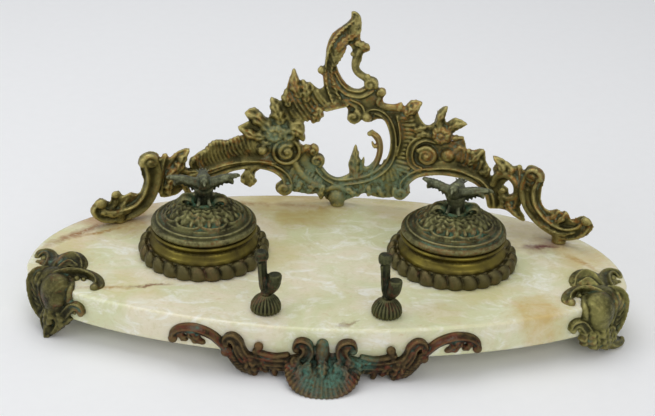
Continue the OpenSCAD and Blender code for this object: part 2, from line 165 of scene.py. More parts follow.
def band(points, profile="rimmed", rise=0.9, floor=-1.4, ribs=0, slant=0.5, hang=0.0,
         ring=False, steps=6):
    """Strip along points of across, up, half width and, if it lifts off the sheet, lift."""
    path = smooth_path([list(q) + [0] * (4 - len(q)) for q in points], steps, ring)
    if not ring:
        path = rounded_ends(path)
    if ring:
        ahead = np.roll(path[:, :2], -1, 0) - np.roll(path[:, :2], 1, 0)
    else:
        ahead = np.gradient(path[:, :2], axis=0)
    ahead /= np.maximum(np.linalg.norm(ahead, axis=1), 1e-6)[:, None]
    side = np.stack([-ahead[:, 1], ahead[:, 0]], 1)
    gone = np.concatenate([[0], np.cumsum(np.linalg.norm(np.diff(path[:, :2], axis=0), axis=1))])
    half, lift = path[:, 2], path[:, 3]
    rows = []
    for s, k in PROFILES[profile]:
        high = rise * half * k
        if ribs:
            high = high * (1 + 0.28 * np.sin(2 * math.pi * (gone + slant * s * half) / ribs))
        rows.append(np.column_stack([path[:, :2] + side * (s * half)[:, None], lift + high]))
    for s in (1, -1):
        low = floor + lift * hang
        rows.append(np.column_stack([path[:, :2] + side * (s * half)[:, None], low]))
    return [loft(np.array(rows).transpose(1, 0, 2), ring)]


# %% [markdown]
# ### Spirals, beads, leaves and shells
# A volute is a band whose path winds inwards while it thins, with a bead for its eye.
# An acanthus leaf is a loft across its midrib, with a notched edge, a groove down the middle
# and veins that run forward.  A shell is a fan of tapering ribs.

# %% Spirals and beads
def bead(across, up, r, out=0.0, high=0.8):
    """Flattened ball; `high` is its height out of the sheet as a share of its radius."""
    rows = []
    for a in np.linspace(-85, 85, 9) * math.pi / 180:
        turn = np.arange(14) * 2 * math.pi / 14
        rows.append(np.column_stack([across + r * math.cos(a) * np.cos(turn),
                                     up + r * math.cos(a) * np.sin(turn),
                                     np.full(14, out + r * high * math.sin(a))]))
    return [loft(np.array(rows))]


def volute(across, up, r, start=90, turns=1.3, way=1, half=None, rise=1.0, lift=0.6):
    """Spiral from its outer end inwards, `start` in degrees and `way` 1 for anticlockwise."""
    half = half or r * 0.3
    points = []
    for t in np.linspace(0, 1, 12):
        a = math.radians(start) + way * turns * 2 * math.pi * t
        far = (r - half * 0.6) * (1 - 0.78 * t)
        points.append([across + far * math.cos(a), up + far * math.sin(a), half * (1 - 0.4 * t),
                       lift * (1 + t)])
    return band(points, "round", rise, steps=3) + bead(across, up, r * 0.34, lift + 0.6, 1.3)


# %% [markdown]
# ### Leaves and shells
# A leaf is a blade whose edge is notched into lobes; a shell is a fan of ribs.  Both are closed
# lofts too, so they can be joined to the bands and beads before the casting is melted together.

# %% Leaves and shells
def leaf(points, width, lobes=4, rise=0.55, floor=-1.2, cut=0.26, hang=0.0):
    """Acanthus blade along its midrib, points of across, up and, if it lifts, lift."""
    mid = smooth_path([list(q) + [0] * (3 - len(q)) for q in points], 24 // (len(points) - 1))
    ahead = np.gradient(mid[:, :2], axis=0)
    ahead /= np.maximum(np.linalg.norm(ahead, axis=1), 1e-6)[:, None]
    side = np.stack([-ahead[:, 1], ahead[:, 0]], 1)
    t = np.linspace(0, 1, len(mid))
    notch = 1 - cut * 1.2 * (1 - np.sin(math.pi * (t * lobes % 1) ** 2)) * (t > 0.1) * (t < 0.9)
    blade = 0.72 * width * (0.35 * (1 - t) + 2.3 * t ** 0.7 * (1 - t) ** 0.85)
    half = np.maximum(blade * notch, 0.12)
    rows = []
    for s in np.linspace(-1, 1, 13):
        cheek = (1 - abs(s) ** 2.4) * (1 - 0.5 * math.exp(-(s / 0.16) ** 2))
        vein = 1 + 0.12 * np.sin(2 * math.pi * (t * lobes - 0.8 * abs(s)))
        out = mid[:, 2] + rise * width * np.sqrt(blade / width) * (cheek * vein + 0.1)
        rows.append(np.column_stack([mid[:, :2] + side * (s * half)[:, None], out]))
    for s in (1, -1):
        low = floor + mid[:, 2] * hang
        rows.append(np.column_stack([mid[:, :2] + side * (s * half)[:, None], low]))
    return [loft(np.array(rows).transpose(1, 0, 2))]


def fan(across, up, near, far, start, stop, count, rise=0.75, lift=0.0):
    """Shell of `count` ribs around a point; `far` lists the rib lengths round the fan."""
    ribs = []
    for i in range(count):
        t = i / (count - 1)
        a = math.radians(start + (stop - start) * t)
        long = np.interp(t, np.linspace(0, 1, len(far)), far)
        gap = math.radians(abs(stop - start)) / count
        points = [[across + d * math.cos(a), up + d * math.sin(a), max(0.52 * gap * d, 0.35),
                   lift + 0.5 * math.sin(math.pi * k)]
                  for k, d in ((0, near), (0.5, (near + long) / 2), (1, long))]
        ribs += band(points, "round", rise, steps=4)
    return ribs


def comb(lower, upper, count, rise=1.3, bow=0.0):
    """Rocaille comb: ribs from one curve up to another, `bow` leaning them sideways."""
    low, high = smooth_path(lower), smooth_path(upper)
    ribs = []
    for i in range(count):
        t = i / (count - 1)
        a = np.array([np.interp(t, np.linspace(0, 1, len(low)), low[:, k]) for k in (0, 1)])
        b = np.array([np.interp(t, np.linspace(0, 1, len(high)), high[:, k]) for k in (0, 1)])
        wide = 0.5 * np.linalg.norm(high[-1] - high[0]) / count
        mid = (a + b) / 2 + [bow, 0]
        ribs += band([[*a, wide * 0.75], [*mid, wide * 0.95, 0.4], [*b, wide * 1.05, 0.2]],
                     "round", rise, steps=4)
    return ribs


print("motifs ready:", ", ".join(PROFILES))

# %% [markdown]
# ### From motifs to one casting
# A real mount is poured in one go, so its motifs flow into each other.  A *voxel remesh* gives
# us that: it fills the overlapping shells with tiny cubes and wraps one new skin around them.
# A light smoothing then rounds it off as polishing does.  Last we note for each point
# how deep it lies in a hollow.  Tarnish gathers in hollows and hands rub the high parts bright,
# so the finish needs to know which is which; the finish also paints shade into the hollows.

# %% Casting
def join(motifs):
    """One list of points and faces from many lofts."""
    verts, faces, count = [], [], 0
    for some, ring in motifs:
        verts.append(np.asarray(some, float))
        faces += [tuple(count + i for i in face) for face in ring]
        count += len(some)
    return np.concatenate(verts), faces


def new_piece(name, verts, faces):
    """Blender object from points in millimetres, depth counted from the widest line."""
    mesh = bpy.data.meshes.new(name)
    mesh.from_pydata(((verts + [0, widest_y, 0]) * MM).tolist(), [], faces)
    mesh.validate()
    piece = bpy.data.objects.new(name, mesh)
    bpy.context.scene.collection.objects.link(piece)
    return piece


def mark_hollows(piece, passes=14):
    """Stores, per point, how far it lies below its smoothed surroundings, in millimetres."""
    mesh = piece.data
    count = len(mesh.vertices)
    at = np.empty(count * 3, np.float32)
    mesh.vertices.foreach_get("co", at)
    at = at.reshape(-1, 3).astype(float)
    facing = np.empty(count * 3, np.float32)
    mesh.vertex_normals.foreach_get("vector", facing)
    edges = np.empty(len(mesh.edges) * 2, np.int32)
    mesh.edges.foreach_get("vertices", edges)
    one, two = edges.reshape(-1, 2).T
    share = np.maximum(np.bincount(edges, minlength=count), 1)
    soft = at.copy()
    for _ in range(passes):
        soft = np.column_stack([(np.bincount(one, soft[two, k], count)
                                 + np.bincount(two, soft[one, k], count)) / share
                                for k in range(3)])
    deep = ((soft - at) * facing.reshape(-1, 3)).sum(1) / MM
    mesh.attributes.new("hollow", "FLOAT", "POINT").data.foreach_set("value", deep.astype(np.float32))
    return np.percentile(deep, [5, 50, 95])


def cast(name, motifs, voxel, polish=2, crisp=14):
    """Fuses motifs into one casting, keeps it on the ground and marks its hollows."""
    verts, faces = join(motifs)
    verts[:, 2] = np.maximum(verts[:, 2], 0.05)
    piece = new_piece(name, verts, faces)
    fuse = piece.modifiers.new("fuse", "REMESH")
    fuse.mode = "VOXEL"
    fuse.voxel_size = voxel * MM
    rub = piece.modifiers.new("rub", "SMOOTH")
    rub.factor = 0.5
    rub.iterations = polish
    ready = piece.evaluated_get(bpy.context.evaluated_depsgraph_get())
    mesh = bpy.data.meshes.new_from_object(ready)
    piece.modifiers.clear()
    piece.data = mesh
    mesh.name = name
    mesh.shade_smooth()
    deep = mark_hollows(piece, crisp)
    print(f"{name}: {len(mesh.polygons)} faces, hollows {deep.round(2)} mm")
    return piece

# %% [markdown]
# ## Finishes
# Every finish is a small network of nodes.  One helper adds a node, sets its values and links
# it.  Colours are written as the hex codes a designer would pick on a screen, and turned into
# the linear numbers that the renderer needs.

# %% Colour and node helpers
def colour(code):
    """Linear RGBA from an sRGB hex code."""
    parts = [int(code[i:i + 2], 16) / 255 for i in (1, 3, 5)]
    return [c / 12.92 if c <= 0.04045 else ((c + 0.055) / 1.055) ** 2.4 for c in parts] + [1]


def node(tree, kind, links=None, **settings):
    """Adds a node; `links` gives each input a value or another node's output."""
    made = tree.nodes.new(kind)
    for key, value in settings.items():
        setattr(made, key, value)
    for socket, source in (links or {}).items():
        if isinstance(source, bpy.types.NodeSocket):
            tree.links.new(source, made.inputs[socket])
        else:
            made.inputs[socket].default_value = source
    return made


def new_finish(name):
    """Empty material with a shader; returns it with its tree, shader and object position."""
    finish = bpy.data.materials.new(name)
    finish.use_nodes = True
    tree = finish.node_tree
    tree.nodes.clear()
    shader = node(tree, "ShaderNodeBsdfPrincipled")
    end = node(tree, "ShaderNodeOutputMaterial")
    tree.links.new(shader.outputs["BSDF"], end.inputs["Surface"])
    place = node(tree, "ShaderNodeTexCoord").outputs["Object"]
    return finish, tree, shader, place


def grain(tree, place, size, detail=4.0, rough=0.6, twist=0.0):
    """Noise whose blotches are about `size` millimetres across."""
    return node(tree, "ShaderNodeTexNoise", {"Vector": place, "Scale": 1 / (size * MM),
                "Detail": detail, "Roughness": rough, "Distortion": twist}).outputs["Fac"]


def between(tree, value, low, high, start=0.0, stop=1.0):
    """Turns a value that runs from low to high into one that runs from start to stop."""
    return node(tree, "ShaderNodeMapRange", {"Value": value, "From Min": low, "From Max": high,
                "To Min": start, "To Max": stop}).outputs["Result"]


def sum_of(tree, one, two, operation="ADD"):
    """Two values added, or put together with another operation."""
    return node(tree, "ShaderNodeMath", {0: one, 1: two}, operation=operation).outputs[0]


def blend(tree, share, one, two):
    """Goes from colour one to colour two as share goes from 0 to 1."""
    return node(tree, "ShaderNodeMixRGB", {"Fac": share, "Color1": one, "Color2": two}).outputs[0]


# %% [markdown]
# ### Cast bronze with a natural patina
# Sand-cast bronze, chased and then left for a century.  It is a metal, so it keeps the default
# IOR and its colour comes from its tint.  The eye reads four layers: olive brown over all,
# near black in the creases, which is grime with painted shade over it, a rubbed golden edge on
# what hands and dusters touch, and chalky blue-green verdigris where damp stayed.  The last is a
# salt, not metal, so it is dull.

# %% Bronze
def cast_bronze(name, brown, dark, rubbed, verdigris, red, damp=0.5, wear=0.5, redness=0.2,
                pools=()):
    """Patinated casting; damp, wear and redness set how far each layer spreads.

    `pools` lists places where water stood: across, depth, height and radius in mm.
    """
    finish, tree, shader, place = new_finish(name)
    deep = node(tree, "ShaderNodeAttribute", attribute_name="hollow").outputs["Fac"]
    cloud = grain(tree, place, 14, 5, 0.65, 0.4)
    speck = grain(tree, place, 2.2, 4, 0.7)
    patch = grain(tree, place, 15, 4, 0.6, 0.6)
    tone = blend(tree, between(tree, cloud, 0.38, 0.62), colour(brown), colour(dark))
    warm = sum_of(tree, patch, sum_of(tree, speck, 0.5, "MULTIPLY"))
    tone = blend(tree, between(tree, warm, 0.86 - redness * 0.2, 1 - redness * 0.2), tone, colour(red))
    ridge = between(tree, sum_of(tree, deep, sum_of(tree, speck, 0.5, "SUBTRACT")),
                    -0.08, -0.42, 0, wear)
    tone = blend(tree, ridge, tone, colour(rubbed))
    # painted shade: creases and hollows go towards the dark colour, the deeper the darker; it stands for the
    # grime gathered there and for the shade that falls in them
    crease_grime_and_shade = between(tree, deep, 0.02, 0.3, 0, 0.9)
    tone = blend(tree, crease_grime_and_shade, tone, colour(dark))
    wet = between(tree, sum_of(tree, patch, sum_of(tree, deep, 0.22, "MULTIPLY")),
                  0.72 - damp * 0.3, 0.9 - damp * 0.3)
    for across, depth, high, radius in pools:
        away = node(tree, "ShaderNodeVectorMath", {0: place, 1: (across * MM, (depth + widest_y) * MM,
                    high * MM)}, operation="DISTANCE").outputs["Value"]
        stood = between(tree, away, radius * MM, radius * 0.5 * MM)
        wet = sum_of(tree, wet, sum_of(tree, stood, between(tree, cloud, 0.3, 0.5), "MULTIPLY"),
                     "MAXIMUM")
    chalk = sum_of(tree, wet, between(tree, speck, 0.38, 0.64, 0.1, 0.9), "MULTIPLY")
    tone = blend(tree, chalk, tone, colour(verdigris))
    tree.links.new(tone, shader.inputs["Base Color"])
    tree.links.new(between(tree, chalk, 0, 1, 0.88, 0.1), shader.inputs["Metallic"])
    gloss = between(tree, sum_of(tree, speck, chalk), 0.3, 1.4, 0.3, 0.7)
    tree.links.new(gloss, shader.inputs["Roughness"])
    pits = node(tree, "ShaderNodeBump", {"Height": grain(tree, place, 1.8, 6, 0.75, 0.6),
                "Strength": 0.6, "Distance": 0.7 * MM})
    tree.links.new(pits.outputs["Normal"], shader.inputs["Normal"])
    return finish


LID_POOLS = [(s * pot_x, pot_y, lid_seat + 14, 12) for s in (-1, 1)]  # round the birds' stumps
GALLERY_POOLS = [(22, 88, 42, 26), (-14, 90, 46, 18), (42, 86, 48, 18), (-34, 84, 78, 12)]
SHELL_POOLS = [(-1, -74, 8, 17), (-2, -66, 24, 9), (20, -64, 14, 10)]
bronze = cast_bronze("cast_bronze_natural_patina", "#958c56", "#403d24", "#c6b876", "#86a083",
                     "#9a6a34", damp=0.5, wear=0.64, redness=0.5, pools=GALLERY_POOLS)
olive_bronze = cast_bronze("cast_bronze_olive_patina", "#827e4a", "#38371f", "#aaa268", "#6f9a80",
                           "#7c5832", damp=0.5, wear=0.55, redness=0.3)
foot_bronze = cast_bronze("cast_bronze_floor_patina", "#676239", "#29281a", "#948c5a", "#64907a",
                          "#744c30", damp=0.5, wear=0.5, redness=0.35)
collar_bronze = cast_bronze("cast_bronze_dark_patina", "#423d24", "#1f1e12", "#787049", "#4f6450",
                            "#5a3c2c", damp=0.45, wear=0.5, redness=0.4)
lid_bronze = cast_bronze("cast_bronze_damp_patina", "#6d6c44", "#34321e", "#a5a070", "#478066",
                         "#765430", damp=0.52, wear=0.62, redness=0.35, pools=LID_POOLS)
copper_bronze = cast_bronze("cast_red_bronze_patina", "#5c4c32", "#231f16", "#867048", "#4f8270",
                            "#66382a", damp=0.54, wear=0.46, redness=0.66, pools=SHELL_POOLS)
fork_bronze = cast_bronze("cast_bronze_handled_patina", "#46482f", "#1e2017", "#76754f", "#3f6350",
                          "#6c4432", damp=0.54, wear=0.5, redness=0.3)
bird_bronze = cast_bronze("cast_bronze_grey_patina", "#6a6d52", "#2c2e24", "#999d7c", "#4f7c6a",
                          "#6a5038", damp=0.56, wear=0.6)
print("bronze finishes:", [f.name for f in (bronze, olive_bronze, foot_bronze, collar_bronze, lid_bronze,
                                            copper_bronze, fork_bronze, bird_bronze)])

# %% [markdown]
# ### Turned brass
# The pots were turned on a lathe, so fine rings run around them.  They kept more of their
# yellow than the castings.  The rings are drawn as stretched noise: long around, short in height.

# %% Brass
def turned_brass(name, yellow, brown, dark, rings=0.5):
    """Tarnished brass with fine lathe rings about `rings` millimetres apart."""
    finish, tree, shader, place = new_finish(name)
    deep = node(tree, "ShaderNodeAttribute", attribute_name="hollow").outputs["Fac"]
    cloud = grain(tree, place, 16, 5, 0.6, 0.5)
    speck = grain(tree, place, 1.8, 4, 0.7)
    squash = node(tree, "ShaderNodeMapping", {"Vector": place, "Scale": (0.05, 0.05, 1)})
    lathe = grain(tree, squash.outputs["Vector"], rings * 3, 3, 0.6)
    tone = blend(tree, between(tree, cloud, 0.36, 0.64), colour(yellow), colour(brown))
    # darker in the specks and in the hollows: tarnish specks, and painted shade in the hollows
    tone = blend(tree, between(tree, sum_of(tree, speck, deep), 0.6, 0.95, 0, 0.8), tone,
                 colour(dark))
    tree.links.new(tone, shader.inputs["Base Color"])
    shader.inputs["Metallic"].default_value = 0.92
    tree.links.new(between(tree, sum_of(tree, cloud, speck), 0.7, 1.3, 0.3, 0.55),
                   shader.inputs["Roughness"])
    cut = node(tree, "ShaderNodeBump", {"Height": lathe, "Strength": 0.35, "Distance": 0.15 * MM})
    tree.links.new(cut.outputs["Normal"], shader.inputs["Normal"])
    return finish


pot_brass = turned_brass("turned_brass_tarnished", "#877b36", "#5c522c", "#332c18")
screw_brass = turned_brass("drawn_brass_fittings", "#a48c4c", "#7c693a", "#463b22", rings=0.3)

# %% [markdown]
# ### Polished onyx
# Onyx marble is layered calcite, cut and polished.  Light enters it a little, so it looks soft
# and deep rather than painted: subsurface scattering does that, with a smooth bright gloss on
# top.  Its layers show as broad cream and green clouds, milky drifts and a few iron-stained
# patches, whose places are listed because they make this slab what it is.

# %% Onyx
STAINS = [  # across, depth from the widest line, radius in mm, colour, strength
    (-128, 60, 34, "#a8792a", 0.8), (-78, 84, 30, "#bb9a44", 0.75), (-22, 90, 46, "#b99c46", 0.8),
    (40, 86, 30, "#c6ac58", 0.55), (130, 42, 16, "#855a48", 0.8), (122, 58, 26, "#ad9860", 0.65),
    (150, 4, 26, "#cfbb70", 0.45), (-152, 22, 22, "#caa850", 0.5), (66, -44, 18, "#cdb46c", 0.35),
    (-112, -24, 20, "#d0ba6c", 0.45), (-40, 22, 30, "#d6c878", 0.5), (-150, -4, 22, "#d8c67c", 0.45),
    (84, -12, 24, "#d6c680", 0.45), (12, -54, 6, "#8a6a3c", 0.5), (118, -38, 24, "#c8a43c", 0.8),
    (150, 34, 20, "#c4a24e", 0.55), (70, 10, 22, "#d4c884", 0.45),
]
VEINS = [  # across, depth, half length, half width in mm, turn in degrees, colour, strength
    (-100, -22, 15, 1.6, 8, "#7c4f2a", 0.95), (-124, -26, 18, 2.2, 4, "#ae8640", 0.85),
    (128, 41, 15, 3.2, 6, "#6c4044", 0.95), (-149, 38, 27, 4.6, 46, "#8e5a20", 0.95),
    (-136, 40, 22, 2.2, 30, "#a37630", 0.85), (-52, 84, 20, 4, 4, "#a07e48", 0.8),
    (14, -55, 5, 1.2, 30, "#7d5a3c", 0.7), (-18, 84, 30, 3, -3, "#b08f58", 0.7),
    (150, 22, 16, 2.4, -50, "#b58c40", 0.75), (60, 12, 26, 3, 12, "#cbb489", 0.5),
    (-70, 60, 30, 3, 10, "#c9ad72", 0.6), (96, -4, 22, 1.6, 20, "#b79d74", 0.5),
]


def polished_onyx():
    """Cream and green calcite with drifts, veins and iron stains."""
    finish, tree, shader, place = new_finish("polished_onyx_marble")
    wander = node(tree, "ShaderNodeTexNoise", {"Vector": place, "Scale": 1 / (28 * MM),
                  "Detail": 5.0, "Roughness": 0.62})
    shift = node(tree, "ShaderNodeVectorMath", {0: wander.outputs["Color"], 1: (0.5, 0.5, 0.5)},
                 operation="SUBTRACT")
    reach = node(tree, "ShaderNodeVectorMath", {0: shift.outputs[0], "Scale": 46 * MM},
                 operation="SCALE")
    adrift = node(tree, "ShaderNodeVectorMath", {0: place, 1: reach.outputs[0]}).outputs[0]
    layers = node(tree, "ShaderNodeMapping", {"Vector": place, "Scale": (0.7, 1.15, 1),
                  "Rotation": (0, 0, 0.2)}).outputs["Vector"]
    cloud = grain(tree, layers, 44, 6, 0.64, 1.2)
    milk = grain(tree, layers, 17, 8, 0.7, 1.4)
    fine = grain(tree, place, 4, 5, 0.65, 0.8)
    tone = blend(tree, between(tree, cloud, 0.4, 0.6), colour("#e8e0c6"), colour("#d9dbb2"))
    tone = blend(tree, between(tree, milk, 0.5, 0.66, 0, 0.85), tone, colour("#f4f4ea"))
    tone = blend(tree, between(tree, sum_of(tree, milk, fine), 0.86, 0.66, 0, 0.65), tone,
                 colour("#d2bf8e"))
    tone = blend(tree, between(tree, fine, 0.5, 0.68, 0, 0.4), tone, colour("#cfc796"))
    for across, depth, radius, code, strength in STAINS:
        spot = node(tree, "ShaderNodeVectorMath", {0: adrift,
                    1: (across * MM, (depth + widest_y) * MM, slab_top * MM)}, operation="DISTANCE")
        inside = between(tree, spot.outputs["Value"], radius * MM, radius * 0.4 * MM, 0, strength)
        broken = sum_of(tree, inside, between(tree, milk, 0.34, 0.6, 0.5, 1), "MULTIPLY")
        tone = blend(tree, broken, tone, colour(code))
    tremble = node(tree, "ShaderNodeTexNoise", {"Vector": place, "Scale": 1 / (9 * MM),
                   "Detail": 4.0, "Roughness": 0.6})
    sway = node(tree, "ShaderNodeVectorMath", {0: tremble.outputs["Color"], 1: (0.5, 0.5, 0.5)},
                operation="SUBTRACT")
    sway = node(tree, "ShaderNodeVectorMath", {0: sway.outputs[0], "Scale": 9 * MM}, operation="SCALE")
    shaken = node(tree, "ShaderNodeVectorMath", {0: place, 1: sway.outputs[0]}).outputs[0]
    for across, depth, long, wide, turn, code, strength in VEINS:
        along = node(tree, "ShaderNodeMapping", {"Vector": shaken,
                     "Location": (across * MM, (depth + widest_y) * MM, slab_top * MM),
                     "Rotation": (0, 0, math.radians(turn)), "Scale": (long * MM, wide * MM, 0.02)},
                     vector_type="TEXTURE").outputs["Vector"]
        away = node(tree, "ShaderNodeVectorMath", {0: along}, operation="LENGTH").outputs["Value"]
        inside = between(tree, away, 1.1, 0.2, 0, strength)
        broken = sum_of(tree, inside, between(tree, fine, 0.36, 0.56, 0.35, 1), "MULTIPLY")
        tone = blend(tree, broken, tone, colour(code))
    tree.links.new(tone, shader.inputs["Base Color"])
    shader.inputs["Roughness"].default_value = 0.16
    shader.inputs["IOR"].default_value = 1.56
    shader.inputs["Subsurface Weight"].default_value = 0.18
    shader.inputs["Subsurface Radius"].default_value = (1.0, 0.85, 0.55)
    shader.inputs["Subsurface Scale"].default_value = 3 * MM
    return finish


onyx = polished_onyx()
print("stains in the onyx:", len(STAINS))

# %% [markdown]
# ### Glass, for the ink liners
# The liners are pressed glass: clear, slightly green, with a smooth surface and small waves.

# %% Glass
def pressed_glass():
    """Clear pressed glass with a faint green tint."""
    finish, tree, shader, place = new_finish("pressed_glass_clear")
    shader.inputs["Base Color"].default_value = colour("#dfe9e2")
    shader.inputs["Roughness"].default_value = 0.04
    shader.inputs["IOR"].default_value = 1.5
    shader.inputs["Transmission Weight"].default_value = 0.95
    wave = node(tree, "ShaderNodeBump", {"Height": grain(tree, place, 6, 2, 0.5),
                "Strength": 0.3, "Distance": 0.2 * MM})
    tree.links.new(wave.outputs["Normal"], shader.inputs["Normal"])
    return finish


glass = pressed_glass()


def place_piece(piece, finish, body, slot, *nodes):
    """Gives a piece its finish and the body it moves with, and hides the CAD nodes it stands for."""
    piece.data.materials.clear()
    piece.data.materials.append(finish)
    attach(piece, body)
    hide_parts(*nodes)

# %% [markdown]
# ## The slab
# The slab is a half-moon whose outline is two *superellipses*, one for the front and one for the
# rounder back.  Its edge is cut square with a narrow polished bevel, which is what flashes
# along the front.  We stack outlines as rings, each a little smaller at the bevels.

# %% Onyx slab
FRONT_POWER, BACK_POWER = 1.78, 2.26


def edge_point(a, grow=0.0):
    """Point of the slab's outline at angle `a` in degrees, grown outwards by `grow`."""
    s, c = math.sin(math.radians(a)), math.cos(math.radians(a))
    power = FRONT_POWER if s < 0 else BACK_POWER
    depth = slab_front if s < 0 else slab_back
    return [(slab_half + grow) * math.copysign(abs(c) ** (2 / power), c),
            (depth + grow) * math.copysign(abs(s) ** (2 / power), s)]


def build_slab():
    """Bevelled onyx slab."""
    rows = []
    for inset, z in ((1.4, slab_under), (0.5, slab_under + 0.25), (0, slab_under + 1.3),
                     (0, slab_top - 1.5), (0.25, slab_top - 0.75), (1.15, slab_top - 0.05),
                     (2.4, slab_top)):
        rows.append([[*edge_point(a, -inset), z] for a in np.arange(0, 360, 0.5)])
    slab = new_piece("slab", *join([loft(np.array(rows))]))
    for face in slab.data.polygons:
        face.use_smooth = len(face.vertices) == 4
    return slab


slab = build_slab()
place_piece(slab, onyx, "stand", "onyx", "onyx_slab")
print("slab:", len(slab.data.polygons), "faces")

# %% [markdown]
# ## Collars and pots
# Each pot stands in a gadrooned collar: a ring of leaning, egg-shaped lobes.  A turned profile
# gives the ring, and a wave round it pushes each lobe out and leans it.  The pot is a plain
# turned profile with a waist that shows bright between collar and lid.

# %% Gadrooned collars
def turned(profile, centre, around=192, relief=None):
    """Closed surface of revolution; `relief` moves points by angle, radius and height."""
    r, z = np.array(profile, float).T
    a = np.arange(around) * 2 * math.pi / around
    radius = np.repeat(r[:, None], around, 1)
    height = np.repeat(z[:, None], around, 1)
    if relief:
        radius, height = relief(np.repeat(a[None], len(r), 0), radius, height)
    rows = np.stack([centre[0] + radius * np.cos(a), centre[1] + radius * np.sin(a), height], 2)
    return loft(rows, joined=True) if abs(r[0]) > 1e-6 else loft(rows)


collar_low, collar_high = span("right_collar")
collar_r = (collar_high[0] - collar_low[0]) / 2
collar_h = collar_high[2] - slab_top
GADROONS = 26
LEAN = 0.34 # part of a lobe that it leans over its height


def gadroon(a, radius, height):
    """Pushes a smooth ring out into leaning lobes with rounded ends."""
    inward = np.clip((collar_r - radius) / (collar_r - pot_r), 0, 1)
    wave = np.abs(np.sin(GADROONS / 2 * a + LEAN * math.pi * inward))
    groove = 1 - wave ** 0.62 - 0.2 * np.exp(-(wave / 0.1) ** 2)
    ends = 0.3 * np.clip((inward - 0.55) / 0.3, 0, 1)
    share = 0.36 * (groove + ends) * np.clip((radius - pot_r - 0.2) / 1.2, 0, 1)
    return pot_r + (radius - pot_r) * (1 - share), slab_top + (height - slab_top) * (1 - share)


def build_collar(side):
    """Ring of gadroons round a pot."""
    wide = 0.54 * (collar_r - pot_r)
    profile = []
    for a in np.radians(np.linspace(-38, 128, 16)):
        profile.append((collar_r - wide + wide * math.cos(a),
                        slab_top + collar_h * (0.38 + 0.62 * math.sin(a))))
    profile += [(pot_r + 0.06, slab_top + collar_h * 0.84), (pot_r + 0.06, slab_top)]
    ring = new_piece(f"{side}_gadrooned_collar",
                     *join([turned(profile, (SIDES[side] * pot_x, pot_y), 24 * GADROONS, gadroon)]))
    ring.data.shade_smooth()
    mark_hollows(ring, 20)
    return ring


for side in SIDES:
    place_piece(build_collar(side), collar_bronze, "stand", "patinated_bronze", f"{side}_collar")
print("collars with", GADROONS, "gadroons each")


# %% [markdown]
# ## Pots
# A pot is turned: one outline, spun round its axis, gives its foot, its waist and its rim.

# %% Turned pots
def build_pot(side):
    """Waisted pot, open at the top for its glass liner."""
    rim = span("right_pot")[1][2]
    profile = [(26, slab_top), (pot_r, slab_top), (pot_r, slab_top + collar_h + 0.4),
               (pot_r - 0.5, slab_top + collar_h + 1)]
    for t in np.linspace(0, 1, 13):
        profile.append((pot_r - 0.9 - 2.3 * math.sin(math.pi * t), slab_top + collar_h + 1.4 + 5.7 * t))
    profile += [(pot_r - 0.8, rim - 1.6), (pot_r - 0.5, rim - 0.9), (pot_r - 1, rim - 0.1),
                (pot_r - 2, rim), (25.8, rim), (25.6, rim - 0.4), (25.6, slab_top + 3),
                (26, slab_top + 3)]
    pot = new_piece(f"{side}_turned_pot", *join([turned(profile, (SIDES[side] * pot_x, pot_y))]))
    pot.data.shade_smooth()
    mark_hollows(pot, 20)
    return pot


for side in SIDES:
    place_piece(build_pot(side), pot_brass, "stand", "brass_pots", f"{side}_pot")
print("pot rim at", round(span("right_pot")[1][2], 2))

# %% [markdown]
# ## Lids
# Each lid is a turned dome with two mouldings, and a spread of acanthus leaves cast on top.
# The leaves are drawn flat, as seen from above, and laid over the dome: the sheet here is a
# function that adds the dome's height.  Three leaf tips curl up round the bird's stump.

# %% Lids
DOME = [(0, 13.9), (6, 13.6), (12, 12.2), (18.5, 9.6), (22, 7.4), (24.5, 6.1), (26, 5.6)]


def lid_sheet(side):
    """Sheet that lies over a lid's dome, drawn as seen from above."""
    def sheet(verts):
        """Across and up from the lid's centre, laid on its dome."""
        r = np.hypot(verts[:, 0], verts[:, 1])
        high = np.interp(r, *np.array(DOME).T)
        return np.column_stack([verts[:, 0] + SIDES[side] * pot_x, verts[:, 1] + pot_y,
                                lid_seat + high + verts[:, 2]])
    return sheet


# %% [markdown]
# ### The lid's relief
# One leaf, rib or scroll is drawn pointing up from the centre, then repeated around it.

# %% Lid relief
def round_motif(motifs, count, first=0.0):
    """Repeats motifs drawn upwards from the centre, around it."""
    out = []
    for i in range(count):
        a = math.radians(first + i * 360 / count)
        c, s = math.cos(a), math.sin(a)
        turn = np.array([[c, s, 0], [-s, c, 0], [0, 0, 1]])
        out += [(verts @ turn, faces) for verts, faces in motifs]
    return out


def curled_tip():
    """Leaf tip that rises, turns over and curls under itself; drawn upwards."""
    away, high, half = smooth_path([[5.4, -1.4, 2.8], [6.6, 1.6, 3.5], [8.6, 4.2, 4], [11.4, 4.8, 3.9],
                                    [13.2, 2.6, 3.3], [12.2, 0.8, 2.6], [10.8, 1.2, 2]], 5).T
    ahead = np.gradient(np.column_stack([away, high]), axis=0)
    ahead /= np.linalg.norm(ahead, axis=1)[:, None]
    rows = []
    for a in np.arange(20) * math.pi / 10:
        thick = 1.7 * math.sin(a) * (1 - 0.35 * math.cos(2 * a)) * (1 + 0.25 * math.cos(8 * a))
        rows.append(np.column_stack([half * math.cos(a), away - ahead[:, 1] * thick,
                                     high + ahead[:, 0] * thick]))
    return [loft(np.array(rows).transpose(1, 0, 2))]


def circle_of(radius, half, lift=0.0):
    """Round moulding in a circle, drawn as seen from above."""
    return band([[radius * math.cos(a), radius * math.sin(a), half, lift] for a in
                 np.arange(24) * math.pi / 12], "round", 1, ring=True, steps=3)


